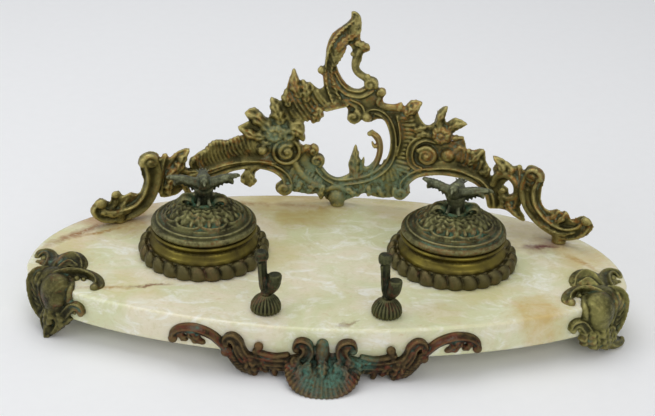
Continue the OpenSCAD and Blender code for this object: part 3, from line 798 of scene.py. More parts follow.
def lid_ornament():
    """Fringe of ribs, leaves over it, hanging scrolls, and curled tips round the middle."""
    long = band([[0, 12, 0.7, 0.5], [0, 16, 0.95, 0.8], [0.3, 20.2, 1.1, 0.5]], "round", 1, steps=4)
    short = band([[0, 12, 0.7, 0.3], [0, 15.4, 0.9, 0.6], [0.2, 18.6, 1, 0.3]], "round", 1, steps=4)
    blade = leaf([[0, 9, 1], [0.5, 14.6, 1.5], [0, 21, 0.8]], 9, 5, 0.24, -1.6, 0.4)
    swag = band([[-7.4, 19.6, 0.6, 0.6], [-4.6, 21.8, 0.75, 0.7], [0, 22.7, 0.8, 0.7],
                 [4.6, 21.8, 0.75, 0.7], [7.4, 19.6, 0.6, 0.6]], "round", 1, steps=4)
    lobe = bead(0, 19.6, 1.7, 0.9, 0.7)
    curls = []
    for turn in (0, 90, 270):  # none in front of the stump
        curls += round_motif(curled_tip(), 1, turn)
    return (round_motif(long, 24) + round_motif(short, 24, 7.5) + round_motif(blade, 6, 30)
            + round_motif(swag, 8, 22.5) + round_motif(lobe, 8)
            + curls + round_motif(blade, 6)
            + circle_of(5.4, 1.2) + circle_of(13, 0.9, 1) + circle_of(23.9, 0.8))


def build_lid(side):
    """Domed lid with its hinge knuckle.

    The knuckle is solid: the pin from the frame lies inside its metal, with no bore around it.
    """
    outer = [(1.6, 13.9)] + DOME[1:] + [
        (26.5, 5.75), (27.2, 5.9), (27.75, 5.4), (27.7, 4.6), (27.3, 4.2), (28.3, 4.15),
        (29.6, 3.9), (30.35, 3.2), (lid_r, 2.1), (30.35, 1.1), (29.6, 0.35), (29.2, 0)]
    inner = [(25.8, 0), (25, 2.6), (22.4, 4.6), (17.6, 7.4), (11.6, 9.9), (6, 11.2), (1.6, 11.6)]
    profile = [(r, lid_seat + z) for r, z in outer + inner]
    x = SIDES[side] * pot_x
    shell = turned(profile, (x, pot_y), 160)
    hinge_y, hinge_z, knuckle = pot_y + 33.6, lid_seat + 0.2, 2.4
    barrel = [[[x + s, hinge_y + knuckle * math.cos(a), hinge_z + knuckle * math.sin(a)]
               for a in np.arange(16) * math.pi / 8] for s in (-3.1, 3.1)]
    tab = [[[x + s, pot_y + y, lid_seat + z] for y, z in ((28.6, 0.3), (33.6, 0.3), (33.6, 2.3),
           (28.6, 2.3))] for s in (-3.1, 3.1)]
    motifs = [shell, loft(np.array(barrel)), loft(np.array(tab))]
    return cast(f"{side}_domed_lid", motifs + bent(lid_ornament(), lid_sheet(side)), 0.42, 1, 18)


for side in SIDES:
    place_piece(build_lid(side), lid_bronze, f"{side}_lid", "patinated_bronze", f"{side}_lid")

# %% [markdown]
# ## Birds
# A small bird with spread wings is screwed to each lid.  Its body, head, beak and tail are
# lofts along the spine; a wing is a cambered blade whose long feathers fan out and leave a
# stepped edge.  Both birds are one casting, screwed on at different turns.

# %% Bird finials
def spindle(points, squash=1.0):
    """Round body along points of x, y, z and radius."""
    path = smooth_path(points, 5)
    ahead = np.gradient(path[:, :3], axis=0)
    ahead /= np.linalg.norm(ahead, axis=1)[:, None]
    side = np.cross(ahead, [0.0, 0.0, 1.0])
    side /= np.maximum(np.linalg.norm(side, axis=1), 1e-6)[:, None]
    up = np.cross(side, ahead)
    rows = []
    for a in np.arange(14) * math.pi / 7:
        rows.append(path[:, :3] + path[:, 3:] * (side * math.cos(a) + up * squash * math.sin(a)))
    return loft(np.array(rows).transpose(1, 0, 2))


def feather(root, tip, wide, thick):
    """Flat rounded blade between two points."""
    root, tip = np.array(root, float), np.array(tip, float)
    ahead = (tip - root) / np.linalg.norm(tip - root)
    side = np.cross(ahead, [0, 1, 0.4])
    side /= np.linalg.norm(side)
    up = np.cross(side, ahead)
    rows = []
    for t in np.linspace(0, 1, 9):
        half = wide * (0.55 + 0.45 * math.sin(math.pi * min(t + 0.15, 1))) * min(1, (1.04 - t) * 5)
        at = root + (tip - root) * t
        rows.append([at + side * half * math.cos(a) + up * thick * math.sin(a)
                     * (1 - 0.4 * t) for a in np.arange(10) * math.pi / 5])
    return loft(np.array(rows))


def bird(up=27.0):
    """Bird with spread wings, facing -y, with its stump; heights count from the lid's seat."""
    parts = [spindle([[0, 6.4, up + 3.4, 2.2], [0, 2.5, up + 1.4, 4.4], [0, -1.5, up + 0.4, 5.4],
                      [0, -4.8, up + 1.4, 4.4], [0, -7, up + 3.6, 2.9], [0, -8.4, up + 4.8, 2.7],
                      [0, -10.2, up + 4.8, 1.7]]),
             spindle([[0, -9.8, up + 4.9, 1.1], [0, -11.6, up + 4, 0.8], [0, -12.4, up + 3, 0.3]])]
    for s in (-1, 1):
        parts.append(spindle([[s * 1.5, -3, up + 0.6, 4], [s * 7, -4.4, up + 3, 2.9],
                              [s * 13, -4, up + 4.6, 2.3], [s * 18.8, -2.4, up + 5, 1.2]], 0.9))
        for i in range(9):
            t = i / 8
            root = [s * (2 + 14.5 * t), -4 + 1.6 * t, up + 3 + 2.6 * math.sin(2.2 * t)]
            tip = [s * (4 + 17 * t ** 0.9), 1.4 + 1.6 * (1 - t), up - 8.4 + 11.4 * t ** 0.8]
            parts.append(feather(root, tip, 2.1, 1.1))
        for i in range(5):
            root = [s * (2 + 3 * i), -4.6, up + 3.2 + 1.6 * math.sin(i / 1.5)]
            tip = [s * (4 + 3.2 * i), -2.4, up - 0.6 + 1.2 * math.sin(i / 1.5)]
            parts.append(feather(root, tip, 2, 1.4))
    for i in range(-2, 3):
        parts.append(feather([0.3 * i, 4.5, up + 2.2], [1.9 * i, 12.3 - 0.5 * i * i, up + 3.4], 1.3, 0.5))
    parts.append(spindle([[0, 0.2, 13.6, 5], [0, 0, 15, 4.5], [0, -0.4, 17.6, 4.4],
                          [0.3, -0.8, 21, 5], [0, -1.2, 24.4, 5.8], [0, -1.2, up + 0.5, 5.6]]))
    for i in range(5):
        a = i * 2 * math.pi / 5 + 0.3
        c, s = math.cos(a), math.sin(a)
        parts.append(spindle([[4.4 * c, 4.4 * s, 22.5, 0.9], [4.3 * c, 4.3 * s, 18, 1.2],
                              [5.4 * c, 5.4 * s, 15, 1.3], [6.8 * c, 6.8 * s, 14, 0.9]]))
    return parts


BIRD_TURNS = {"left": 8, "right": -20}
for side in SIDES:
    a = math.radians(BIRD_TURNS[side])
    turn = np.array([[math.cos(a), math.sin(a), 0], [-math.sin(a), math.cos(a), 0], [0, 0, 1]])
    placed = [(verts @ turn + [SIDES[side] * pot_x, pot_y, lid_seat], faces)
              for verts, faces in bird()]
    placed.append(spindle([[SIDES[side] * pot_x, pot_y, lid_seat + 9, 1.5],
                           [SIDES[side] * pot_x, pot_y, lid_seat + 14.5, 1.5]]))
    piece = cast(f"{side}_bird", placed, 0.36, 1, 16)
    place_piece(piece, bird_bronze, f"{side}_lid", "patinated_bronze", f"{side}_bird_finial")

# %% [markdown]
# ## Pen rests
# A pen lies across two forks.  Each fork stands on a fluted dome like a small melon, and has
# one tall arm that leans out to a knob, and one short cup.

# %% Pen rests
def melon(a, radius, height):
    """Flutes a small dome like a melon."""
    wave = np.abs(np.sin(11 * a)) ** 0.7
    body = np.clip((radius - 3.2) / 3, 0, 1)
    return radius - 1.1 * (1 - wave) * body, height


FORK_TURNS = {"left": -12, "right": -40}
for side in SIDES:
    low, high = span(f"{side}_pen_rest_base")
    middle = ((low + high) / 2)[:2] - [0, widest_y]
    dome = [(1.6, slab_top), (7.4, slab_top), (8.3, slab_top + 0.8), (8.5, slab_top + 2.4),
            (8.1, slab_top + 4.6), (7, slab_top + 6.6), (5.4, slab_top + 8.2), (3.9, slab_top + 9.2),
            (3.3, slab_top + 10), (1.6, slab_top + 10)]
    foot = new_piece(f"{side}_melon_foot", *join([turned(smooth_path(dome[1:-1], 3).tolist()
                     + [dome[-1], dome[0]], middle, 168, melon)]))
    foot.data.shade_smooth()
    mark_hollows(foot, 20)
    place_piece(foot, fork_bronze, "stand", "patinated_bronze", f"{side}_pen_rest_base")
    fork = [spindle([[0, 0, 9.8, 3], [0, 0, 11, 3.3], [-0.4, 0, 12.4, 2.6], [-1.2, 0, 15, 2.7],
                     [-1.8, 0, 20, 2.6], [-2.2, 0, 25, 2.6], [-2.5, 0, 29.8, 2.8],
                     [-2.7, 0, 31.4, 3.8], [-2.8, 0, 34.4, 3.9], [-2.8, 0, 35.8, 3]]),
            spindle([[-1.4, -2.4, 14, 0.8], [-2, -2.7, 20, 0.9], [-2.4, -2.7, 26, 0.9],
                     [-2.7, -3.2, 30, 1]]),
            spindle([[0.3, 0, 11.2, 2.4], [2.6, 0, 13.4, 3], [4, 0, 16.4, 3.8], [4.6, 0, 19.6, 3.9],
                     [4.8, 0, 21.6, 3.9], [4.8, 0, 22.8, 3.5], [4.8, 0, 23, 2.4]]),
            spindle([[0, 0, -20, 1.45], [0, 0, 10.5, 1.45]])]
    a = math.radians(FORK_TURNS[side])
    turn = np.array([[math.cos(a), math.sin(a), 0], [-math.sin(a), math.cos(a), 0], [0, 0, 1]])
    placed = [(verts @ turn + [*middle, slab_top], faces) for verts, faces in fork]
    piece = cast(f"{side}_pen_fork", placed, 0.35, 2, 16)
    place_piece(piece, fork_bronze, "stand", "patinated_bronze", f"{side}_pen_fork")

# %% [markdown]
# ## The gallery
# The pierced gallery is one long casting, bent in plan to follow the slab's back.  The CAD node
# already has its true outline and windows, so a thinned copy of it makes the back plate of our
# casting, and the relief is drawn on the sheet in front of it.  Working from left to right
# keeps the list of motifs readable: it is the order in which a chaser would work over it.

# %% The gallery's sheet and back plate
GALLERY_BEND = 250.0
gallery_middle = span("gallery")[1][1] - widest_y - 3  # depth of the plate's middle at x = 0


def gallery_sheet(verts):
    """Bends across, up and out onto the gallery's curve; out is towards the front."""
    x, z, out = verts.T
    depth = np.sqrt(GALLERY_BEND ** 2 - x ** 2)
    return np.column_stack([x - out * x / GALLERY_BEND,
                            gallery_middle - GALLERY_BEND + depth * (1 - out / GALLERY_BEND), z])


def thinned_plate():
    """Copy of the CAD gallery with its thickness brought down towards its middle."""
    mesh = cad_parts["gallery"].data
    at = np.array([v.co for v in mesh.vertices]) / MM - [0, widest_y, 0]
    centre_y = gallery_middle - GALLERY_BEND
    far = np.hypot(at[:, 0], at[:, 1] - centre_y)
    thin = (GALLERY_BEND + 0.6 + (far - GALLERY_BEND) * 0.42) / far
    at[:, 0] *= thin
    at[:, 1] = centre_y + (at[:, 1] - centre_y) * thin
    return at, [tuple(face.vertices) for face in mesh.polygons]


# %% [markdown]
# ### Left end: the foot scroll, its big volute and the leaf
# The end scroll lies along the slab and then climbs to a volute.  Small leaves ride on it.

# %% Left end of the gallery
left_end = (
    band([[-137, 44, 3], [-139, 41, 3.4], [-135, 36.5, 4.4], [-127, 35, 4.4], [-118, 36.5, 4.6],
          [-112, 42, 4.6], [-108.5, 50, 4.6], [-107.5, 58, 4.8], [-109, 66, 4.8]], "rimmed", 0.95)
    + volute(-109.2, 67, 5.6, 200, 1.2, -1, 2, 1.2, 1.6)
    + bead(-137.3, 45.2, 3.2, 1.6) + bead(-129, 49, 2.4, 1.2)
    + leaf([[-133, 38, 1], [-129, 43], [-128, 50.5]], 2.8, 3)
    + leaf([[-127, 38, 2], [-123, 43], [-120, 47.5]], 2.6, 3)
    + leaf([[-138, 40, 2.2], [-130, 36.6, 3.4], [-121, 36.5, 2.6]], 3, 4, 0.5)
    + band([[-103, 45, 1.7], [-102, 54, 2.2], [-102, 62, 2.2], [-100, 68.4, 1.6]], "ridge", 1.1)
    + band([[-98.5, 60, 1.3], [-97, 64, 1.3], [-94, 68, 1.2]], "round")
    + leaf([[-99, 55, 1], [-93, 60, 1.5], [-90, 66, 1.2], [-86, 71]], 5.2, 4, 0.6)
    + band([[-99.5, 54, 1.6], [-96, 57.6, 1.9], [-91, 58, 1.9], [-86, 55, 1.8]], "round", 1.2)
    + leaf([[-97, 53, 1], [-99, 47, 1.5], [-98, 41.5]], 4, 4, 0.6)
    + leaf([[-92, 55, 1], [-89, 47, 1.4], [-85, 36]], 4, 5, 0.6)
    + band([[-83, 55, 2.2], [-79.5, 48, 2.4], [-80, 41, 2.6], [-85, 36, 2.4]], "rimmed")
    + band([[-99, 55, 2.2], [-90, 55.2, 2.4], [-82, 54, 2.8]], "rimmed"))

# %% [markdown]
# ### Left wing: comb of rocaille, lower arch and its rosette
# The comb is a row of ribs between two curves.  Below it a rimmed moulding runs to the rosette,
# and the lower arch sweeps down to a volute.

# %% Left wing of the gallery
left_wing = (
    comb([[-84, 57.5], [-74, 58.5], [-64, 61], [-52, 62.5], [-44, 63]],
         [[-84.5, 64], [-78, 67.8], [-71.5, 74], [-64, 73.4], [-56, 76], [-47, 73.6]], 19, 1.5, -1.2)
    + band([[-87, 55.5, 2], [-78, 57.5, 2.5], [-68, 60.4, 2.6], [-56, 62.4, 2.7], [-44, 62, 2.6],
            [-34, 59.5, 2]], "lip", 1.15)
    + band([[-86, 51.5, 2.6], [-74, 52.6, 2.9], [-62, 56, 2.4], [-48, 57.5, 2.5], [-36, 55, 2.8],
            [-28.5, 49.5, 3], [-26, 43.5, 3]], "rimmed", 1.05)
    + volute(-28.6, 41, 5.2, 20, 1.25, -1, 1.9, 1.2, 1.4)
    + leaf([[-72, 52], [-69, 48], [-66.5, 44]], 2.2, 3)
    + band([[-40, 57.5, 1.7], [-47, 56, 1.9], [-51, 51.5, 2.4], [-50.5, 46.5, 2.6]], "round", 1.1)
    + leaf([[-50, 52, 1], [-49, 46, 1.6], [-50.5, 42]], 4.2, 3, 0.6)
    + bead(-54, 47, 1.8, 1) + bead(-47, 46.5, 1.7, 1)
    + band([[-27.5 + 8 * math.cos(a), 66 + 8 * math.sin(a), 1.6] for a in np.arange(0, 6.2, 0.45)],
           "round", 1.7, ring=True, steps=3)
    + volute(-27.5, 66, 6.2, 60, 1.3, 1, 1.9, 1.2, 1.5)
    + bead(-42.5, 67.5, 3.4, 1.4, 1.1)
    + band([[-42.5 + 4.6 * math.cos(a), 67.5 + 4.6 * math.sin(a), 0.9] for a in np.arange(0, 6.2, 0.6)],
           "round", 1.6, ring=True, steps=3))

# %% [markdown]
# ### Left shoulder: flowers, pointed leaves and the two shells
# The leaves stand out of the casting one behind another, so each has its own lift.

# %% Left shoulder of the gallery
def round_petals(across, up, r, count, lift):
    """Flower: rounded petals round a point, each a small cupped leaf."""
    out = []
    for i in range(count):
        a = 2 * math.pi * i / count + 0.5
        points = [[across + d * r * math.cos(a), up + d * r * math.sin(a), lift + h]
                  for d, h in ((0.15, -0.6), (0.6, 0.5), (1.05, -0.4))]
        out += leaf(points, r * 0.85, 1, 0.45, cut=0)
    return out


left_shoulder = (
    leaf([[-41, 76, 1], [-50, 78.4, 2], [-57, 83]], 5.4, 3, 0.5)
    + leaf([[-37, 80, 1], [-45, 88, 2], [-53, 92, 0.6]], 6.4, 3, 0.5)
    + leaf([[-31, 84, 1], [-34, 93, 2], [-37.3, 101.5, 0.4]], 6, 4, 0.5)
    + leaf([[-26, 81, 1.6], [-20.4, 79.6, 2.4], [-17, 72.6, 0.8]], 6, 3, 0.55)
    + leaf([[-26, 82, 1], [-21, 84.6, 1.6], [-16.6, 80.6]], 4.2, 3)
    + comb([[-33, 81], [-27, 83], [-20, 88]], [[-37.4, 89], [-33, 97], [-28.5, 99]], 6, 1.1, 0.6)
    + leaf([[-28, 78, 2.4], [-33, 82, 3], [-38, 82, 2]], 3.6, 3)
    + leaf([[-36, 74, 1], [-41, 72, 1.4], [-46, 75]], 3.2, 3)
    + leaf([[-30, 76, 1.6], [-26, 73, 2], [-21, 75]], 3, 3)
    + bead(-35.4, 78.4, 2.4, 3) + round_petals(-35.4, 78.4, 5.6, 6, 2.6)
    + round_petals(-26.4, 77.4, 4.4, 5, 2)
    + comb([[-19.5, 85.5], [-13.5, 86.5], [-8, 91], [-2, 96.5]],
           [[-29, 99.5], [-25.5, 106.5], [-19, 110], [-9.6, 106]], 9, 1.25, -0.8)
    + leaf([[-20, 102, 1.8], [-23.4, 110, 2], [-24, 120, 0.6]], 5.2, 4, 0.5)
    + leaf([[-16, 99, 1.6], [-16.6, 107, 2], [-19, 113, 0.8]], 5, 4, 0.5)
    + leaf([[-8, 96, 1.4], [-9, 90, 2], [-12.4, 84.6, 0.6]], 5.4, 4, 0.5)
    + leaf([[-26, 96, 1], [-28.6, 101, 1.4], [-28, 107, 0.4]], 4.4, 3, 0.5)
    + band([[-4, 95.4, 2.4, 0.8], [2, 98, 2.8, 1.2], [8, 99, 2.4, 0.8]], "lip", 1)
    + leaf([[1, 100, 1], [0.4, 97, 1.4], [0, 93.4]], 3.6, 3)
    + band([[-22, 62, 1.6], [-15, 68, 2.2], [-13.5, 64, 1.6], [-8.5, 62, 2]], "round")
    + volute(-11, 66.5, 3.6, 90, 1.1, -1, 1.4, 1.2, 1.2))

# %% [markdown]
# ### Crest: the leaf that curls over, its C-scrolls and eyes
# The crest is the highest and thinnest part.  Its leaf is ribbed on the inside and curls its
# tip back to the left.

# %% Crest of the gallery
crest = (
    band([[2, 101, 3.6], [-1.5, 109, 3], [-3, 117, 2.5], [-2.6, 125, 3], [0, 134, 4], [4, 141, 4.4],
          [9, 146.5, 3.8], [12.6, 151, 2.6], [12.4, 154, 1.8], [10.6, 155.4, 1.5]], "rimmed", 0.85,
         ribs=2.7, slant=0.9)
    + leaf([[1, 131, 1], [5, 138, 1.6], [12, 143.5, 1], [15.5, 146]], 4.6, 7, 0.5)
    + leaf([[-1, 122, 0.6], [2.5, 128, 1], [7, 134.5, 0.6]], 3.4, 6, 0.5)
    + leaf([[9, 146, 1.2], [12.5, 150, 1.2], [11.4, 155.6]], 3.2, 3)
    + leaf([[12, 138.5, 1.4], [16, 136.5, 1.6], [21, 135, 0.4]], 3.4, 3)
    + leaf([[14, 137, 0.6], [17, 134.5, 1], [18, 131.5]], 2.4, 3)
    + bead(-7.6, 119.4, 2.4, 0.8) + band([[-7.6, 120.6, 1.3], [-5.4, 117, 1.5], [-4, 110, 2]], "round")
    + band([[15.4, 134, 2], [13, 129, 1.9], [12.2, 123, 1.9], [14, 118.6, 1.9], [19, 115.6, 2.2]],
           "round", 1.1)
    + bead(11, 130.5, 1.6, 0.8) + bead(20.5, 116.6, 2, 1.2)
    + band([[0, 117, 2], [3.4, 110.6, 2.4], [9, 106, 2.6], [16.6, 105.2, 2.8], [22.4, 108.6, 2.8]],
           "rimmed", 1.1)
    + volute(22.2, 112, 4.6, -20, 1.2, 1, 1.8, 1.2, 1.4)
    + volute(29.6, 106.8, 3, 200, 1.1, -1, 1.2, 1.2, 1)
    + band([[28.6, 104, 1.6], [27.6, 100, 2], [31, 97.6, 2.2], [38, 97.4, 2], [44, 97, 1.8]], "round")
    + leaf([[40, 96, 1], [41, 98.5, 1], [41.6, 101.5]], 2.4, 3)
    + leaf([[44, 94, 1], [49, 98, 1.6], [54, 103, 0.4]], 4.2, 4, 0.55))

# %% [markdown]
# ### The roundel, its two inner volutes and the sprig
# A big C-scroll frames the open middle.  A tendril and a pointed leaf grow up from its foot,
# and the ribbed rocaille below it carries the red-brown boss.

# %% Roundel and the rocaille below it
roundel = (
    band([[11, 99.5, 2.2], [16, 97, 2.6], [17.4, 93, 2.8], [14.6, 89.6, 3]], "rimmed", 1)
    + volute(13, 90.6, 5.2, 60, 1.15, -1, 2, 1.2, 1.6) + bead(21.2, 90.8, 3.4, 1.4, 1.1)
    + band([[21, 93.4, 1.6], [27, 94.4, 2.2], [33, 91, 2.2], [37, 83, 2.2], [38.4, 73, 2.2],
            [36.8, 63, 2.4], [31.6, 55.4, 2.6], [24, 50, 2.6], [14, 46.8, 2.4], [5, 45.6, 2.2],
            [-2, 48.4, 2.2], [-7, 54, 2.4]], "rimmed", 1.15)
    + volute(-8.6, 60, 4.8, -60, 1.2, 1, 1.8, 1.2, 1.4)
    + band([[24, 51, 1.9], [28.4, 60, 1.9], [30.2, 69, 1.9], [28.6, 76.6, 1.8], [24.6, 79.4, 1.5]],
           "ridge", 1.2)
    + bead(23.4, 79.4, 1.7, 0.8) + leaf([[28.6, 72, 0.6], [26.4, 71, 1], [24.8, 74.5]], 1.7, 2)
    + leaf([[16.4, 48, 0.6], [15.6, 56, 1.2], [15.4, 64, 1], [15, 71]], 4.4, 5, 0.5)
    + leaf([[14.6, 50, 1], [12.6, 54], [11.4, 59.4]], 2, 2)
    + leaf([[17.6, 50, 1], [19.6, 56], [20.4, 63.4]], 2.2, 2))

rocaille = (
    comb([[-25, 41], [-20, 39], [-13, 38], [-6, 37]], [[-22, 56], [-17, 53.6], [-11, 49.6], [-5, 45.6]],
         10, 1.5, -2.2)
    + leaf([[-10, 46, 1.4], [-12, 41, 1.8], [-14, 36.4, 0.6]], 3.8, 4)
    + leaf([[-18, 46, 1], [-20, 41, 1.4], [-22.5, 37.6]], 3.4, 4)
    + leaf([[-4, 44, 2], [-5.4, 38, 2.4], [-5, 32.6, 0.6]], 3.8, 3)
    + bead(4.6, 35.4, 5.6, 1.6, 0.85)
    + band([[-1.6, 40, 2, 1], [4.6, 42.4, 2.2, 1.6], [11, 40, 2, 1]], "round")
    + leaf([[10, 42, 1.6], [15, 38.6, 2], [19, 36.4, 0.4]], 3.6, 3)
    + fan(18, 58, 10, (14, 21, 22, 20, 18), -84, -34, 8, 0.9, 0.4)
    + fan(34, 66, 4, (16, 17, 17, 16), -104, -50, 6, 0.9, 0.5)
    + leaf([[24, 44, 1.4], [25, 40, 1.8], [24, 36.4, 0.4]], 3, 3)
    + leaf([[30, 44, 1.2], [32.5, 40, 1.6], [34, 36.6, 0.4]], 3, 3)
    + band([[-22, 58, 2.2, 0.6], [-18, 51, 2.6, 1], [-11, 45, 2.4, 1], [-3, 41, 2, 0.8]], "round")
    + band([[40.5, 92, 1.4, 0.4], [43, 84, 1.8, 0.8], [43.6, 76, 1.8, 0.8], [42, 67, 1.6, 0.6]], "lip", 1.2))

# %% [markdown]
# ### Right side: rosette, flower, right arch and the right end
# The right wing answers the left without mirroring it, as rococo taste wants.

# %% Right wing and right end of the gallery
right_wing = (
    comb([[40, 58], [42, 66], [43, 75], [42, 84], [41, 91]],
         [[48, 56], [50, 66], [51, 76], [51, 84], [48, 93]], 14, 1.3)
    + volute(59, 69, 7, 150, 1.8, -1, 1.7, 1.2, 1.6)
    + band([[64, 79.4, 1.8, 0.6], [57, 80.6, 2.2, 1], [50.6, 76, 2.4, 1], [48.6, 68.6, 2.4, 1],
            [51, 61.6, 2.2, 0.8], [56, 59, 2, 0.6]], "rimmed", 1.1)
    + bead(71.6, 71.4, 4.4, 1, 0.9)
    + band([[71.6 + 5.6 * math.cos(a), 71.4 + 5.6 * math.sin(a), 0.9] for a in np.arange(0, 6.2, 0.5)],
           "round", 1.4, ring=True, steps=3)
    + leaf([[50, 84, 1], [54, 86, 1.6], [58, 87.6, 0.6]], 3.6, 3)
    + leaf([[52, 80, 1.4], [56, 83, 2], [61, 83, 0.8]], 3.4, 3)
    + bead(67, 84, 2.4, 2.8) + round_petals(67, 84, 6, 6, 2)
    + leaf([[65, 88, 0.8], [65.4, 95, 1.4], [69, 102.5, 0.4]], 3.4, 3, 0.55)
    + leaf([[70, 87, 0.8], [75, 91.5, 1.2], [81, 93.2, 0.4]], 3, 3, 0.55)
    + leaf([[71, 83, 0.8], [75, 83, 1.2], [80, 84, 0.4]], 2.6, 3)
    + leaf([[75, 73, 0.8], [78, 77, 1.2], [81, 76.5, 0.4]], 3, 3)
    + comb([[75, 65], [84, 64], [93, 60]], [[77, 75], [86, 75.4], [96, 66]], 9, 1.3, 0.8)
    + leaf([[84, 67, 0.8], [88, 72, 1.4], [92, 78.4, 0.4]], 3.6, 3, 0.55)
    + leaf([[91, 63, 0.8], [94, 64, 1], [97, 63]], 2.6, 3)
    + band([[60, 61, 2, 0.4], [70, 64.4, 2.4, 0.8], [80, 64.4, 2.4, 0.8], [90, 60.6, 2, 0.6],
            [95, 56, 1.6, 0.4]], "lip", 1.1)
    + band([[47, 43.5, 3], [46.8, 49, 3], [54, 56, 2.8], [66, 59.6, 2.8], [80, 60, 2.8], [91, 57.2, 2.8],
            [97.6, 50, 2.8], [99.6, 43, 2.6]], "rimmed", 1.05)
    + volute(44.4, 41.8, 5.2, 150, 1.25, 1, 1.9, 1.2, 1.4))

right_end = (
    band([[99, 57, 1.8, 0.4], [101.6, 64, 2.2, 0.8], [107.4, 65.6, 2.4, 0.8], [112.6, 61, 2.2, 0.8],
          [113, 53.4, 2, 0.6], [108, 50, 1.8, 0.6], [104, 53.4, 1.6, 0.8]], "round", 1.1)
    + bead(105.4, 55, 2, 1.6)
    + leaf([[101, 62, 1], [104, 69, 1.6], [98, 75, 0.4]], 4, 3, 0.55)
    + leaf([[106, 64, 1.2], [109, 69, 1.4], [104.6, 73.6]], 3.4, 3)
    + band([[112.6, 45, 1.6], [114, 56, 1.8], [114.2, 66, 1.8], [113, 72, 1.4]], "ridge", 1.2)
    + leaf([[104, 51, 0.8], [106, 46, 1.2], [103, 42]], 3, 4)
    + leaf([[108.6, 50, 1], [110, 44, 1.4], [117, 38, 0.4]], 3, 5, 0.55)
    + band([[121.6, 69, 4.6], [119.6, 60, 4.8], [121.6, 50.5, 4.6], [127, 43.4, 4.4], [134.6, 38.8, 4.2],
            [143, 38, 4.2], [149.6, 42, 3.4], [152.6, 47.6, 2.6]], "rimmed", 1)
    + band([[121.4, 66, 1.8, 1.6], [119.6, 60, 1.9, 1.8], [121.6, 50.5, 1.9, 1.8], [127, 43.4, 1.7, 1.6]],
           "round", 0.7, ribs=1.9, slant=0)
    + volute(121.6, 69.4, 5.4, -20, 1.2, 1, 1.9, 1.2, 1.6)
    + bead(152.6, 50, 2.8, 1.4)
    + leaf([[130, 43, 1.4], [135, 46, 1.2], [137.4, 51]], 2.6, 3)
    + leaf([[136, 42, 1.6], [139.4, 46, 1.6], [141.4, 51.4]], 2.8, 3)
    + leaf([[130, 38.6, 2], [139, 36.8, 3], [148, 41, 2.4]], 2.8, 4, 0.5))
print("gallery motifs:", sum(len(part) for part in (left_end, left_wing, left_shoulder, crest,
                                                    roundel, rocaille, right_wing, right_end)))

# %% [markdown]
# ### Casting the gallery
# The motifs are bent along the gallery's curve, given pads for the studs, and melted together.

# %% Cast the gallery
GALLERY_FEET = [[-127, 0], [5, -2], [139, 0]]  # where its three studs go through the slab


def gallery_boss(x, shift):
    """Round pad under the gallery, where a stud is tapped in."""
    y = gallery_middle - GALLERY_BEND + math.sqrt(GALLERY_BEND ** 2 - x * x) + shift
    rings = [[[x + r * math.cos(a), y + r * math.sin(a), slab_top + z]
              for a in np.arange(20) * math.pi / 10] for r, z in ((4.3, 0.05), (4.5, 1.5), (4.2, 6))]
    return loft(np.array(rings))


relief = left_end + left_wing + left_shoulder + crest + roundel + rocaille + right_wing + right_end
gallery = cast("gallery_casting", [thinned_plate()] + bent(relief, gallery_sheet)
               + [gallery_boss(*foot) for foot in GALLERY_FEET], 0.56, 1, 12)
place_piece(gallery, bronze, "stand", "patinated_bronze", "gallery")

# %% [markdown]
# ## Mounts on the slab's edge
# The feet and the front mount wrap round the slab's edge.  Their sheet runs along the edge
# (measured from the middle of the front), up from the ground, over the corner with a small
# radius, and back across the top.  Motifs drawn on it hug the slab without any fitting by eye.

# %% The edge's sheet
EDGE_ANGLES = np.arange(150, 390.1, 0.5)
edge_line = np.array([edge_point(a) for a in EDGE_ANGLES])
edge_steps = np.linalg.norm(np.diff(edge_line, axis=0), axis=1)
edge_gone = np.concatenate([[0], np.cumsum(edge_steps)])
edge_gone -= edge_gone[np.argmin(abs(EDGE_ANGLES - 270))]
edge_ahead = np.gradient(edge_line, axis=0)
edge_out = np.column_stack([edge_ahead[:, 1], -edge_ahead[:, 0]])
edge_out /= np.linalg.norm(edge_out, axis=1)[:, None]
CORNER = 3.0  # radius with which a mount goes over the slab's corner


def edge_sheet(verts):
    """Along the edge, up and over, and out."""
    along, up, out = verts.T
    base = np.column_stack([np.interp(along, edge_gone, edge_line[:, k]) for k in (0, 1)])
    face = np.column_stack([np.interp(along, edge_gone, edge_out[:, k]) for k in (0, 1)])
    past = np.clip((up - (slab_top - CORNER)) / CORNER, 0, math.pi / 2)
    inward = np.maximum(up - (slab_top - CORNER) - CORNER * math.pi / 2, 0)
    reach = -CORNER + (CORNER + out) * np.cos(past) - inward
    z = np.minimum(up, slab_top - CORNER) + (CORNER + out) * np.sin(past)
    return np.column_stack([base + face * reach[:, None], z])


def along_at(x):
    """Distance along the front edge at a width x."""
    front = (EDGE_ANGLES >= 180) & (EDGE_ANGLES <= 360)
    return float(np.interp(x, edge_line[front, 0], edge_gone[front]))


def mirrored(motifs, about=0.0):
    """Motifs reflected across."""
    return [(verts * [-1, 1, 1] + [2 * about, 0, 0], faces) for verts, faces in motifs]


def shifted(motifs, along=0.0, up=0.0, out=0.0):
    """Motifs moved on their sheet."""
    return [(verts + [along, up, out], faces) for verts, faces in motifs]


print("front edge from", edge_gone[0].round(1), "to", edge_gone[-1].round(1), "mm")

# %% [markdown]
# ## Front corner feet
# Each foot has a swelling shield with raised rims, an arm that curls along the slab's face and
# scrolls that grip the top.  The left foot ends in a claw of three toes, the
# right one in a leafy skirt with one toe to the side.

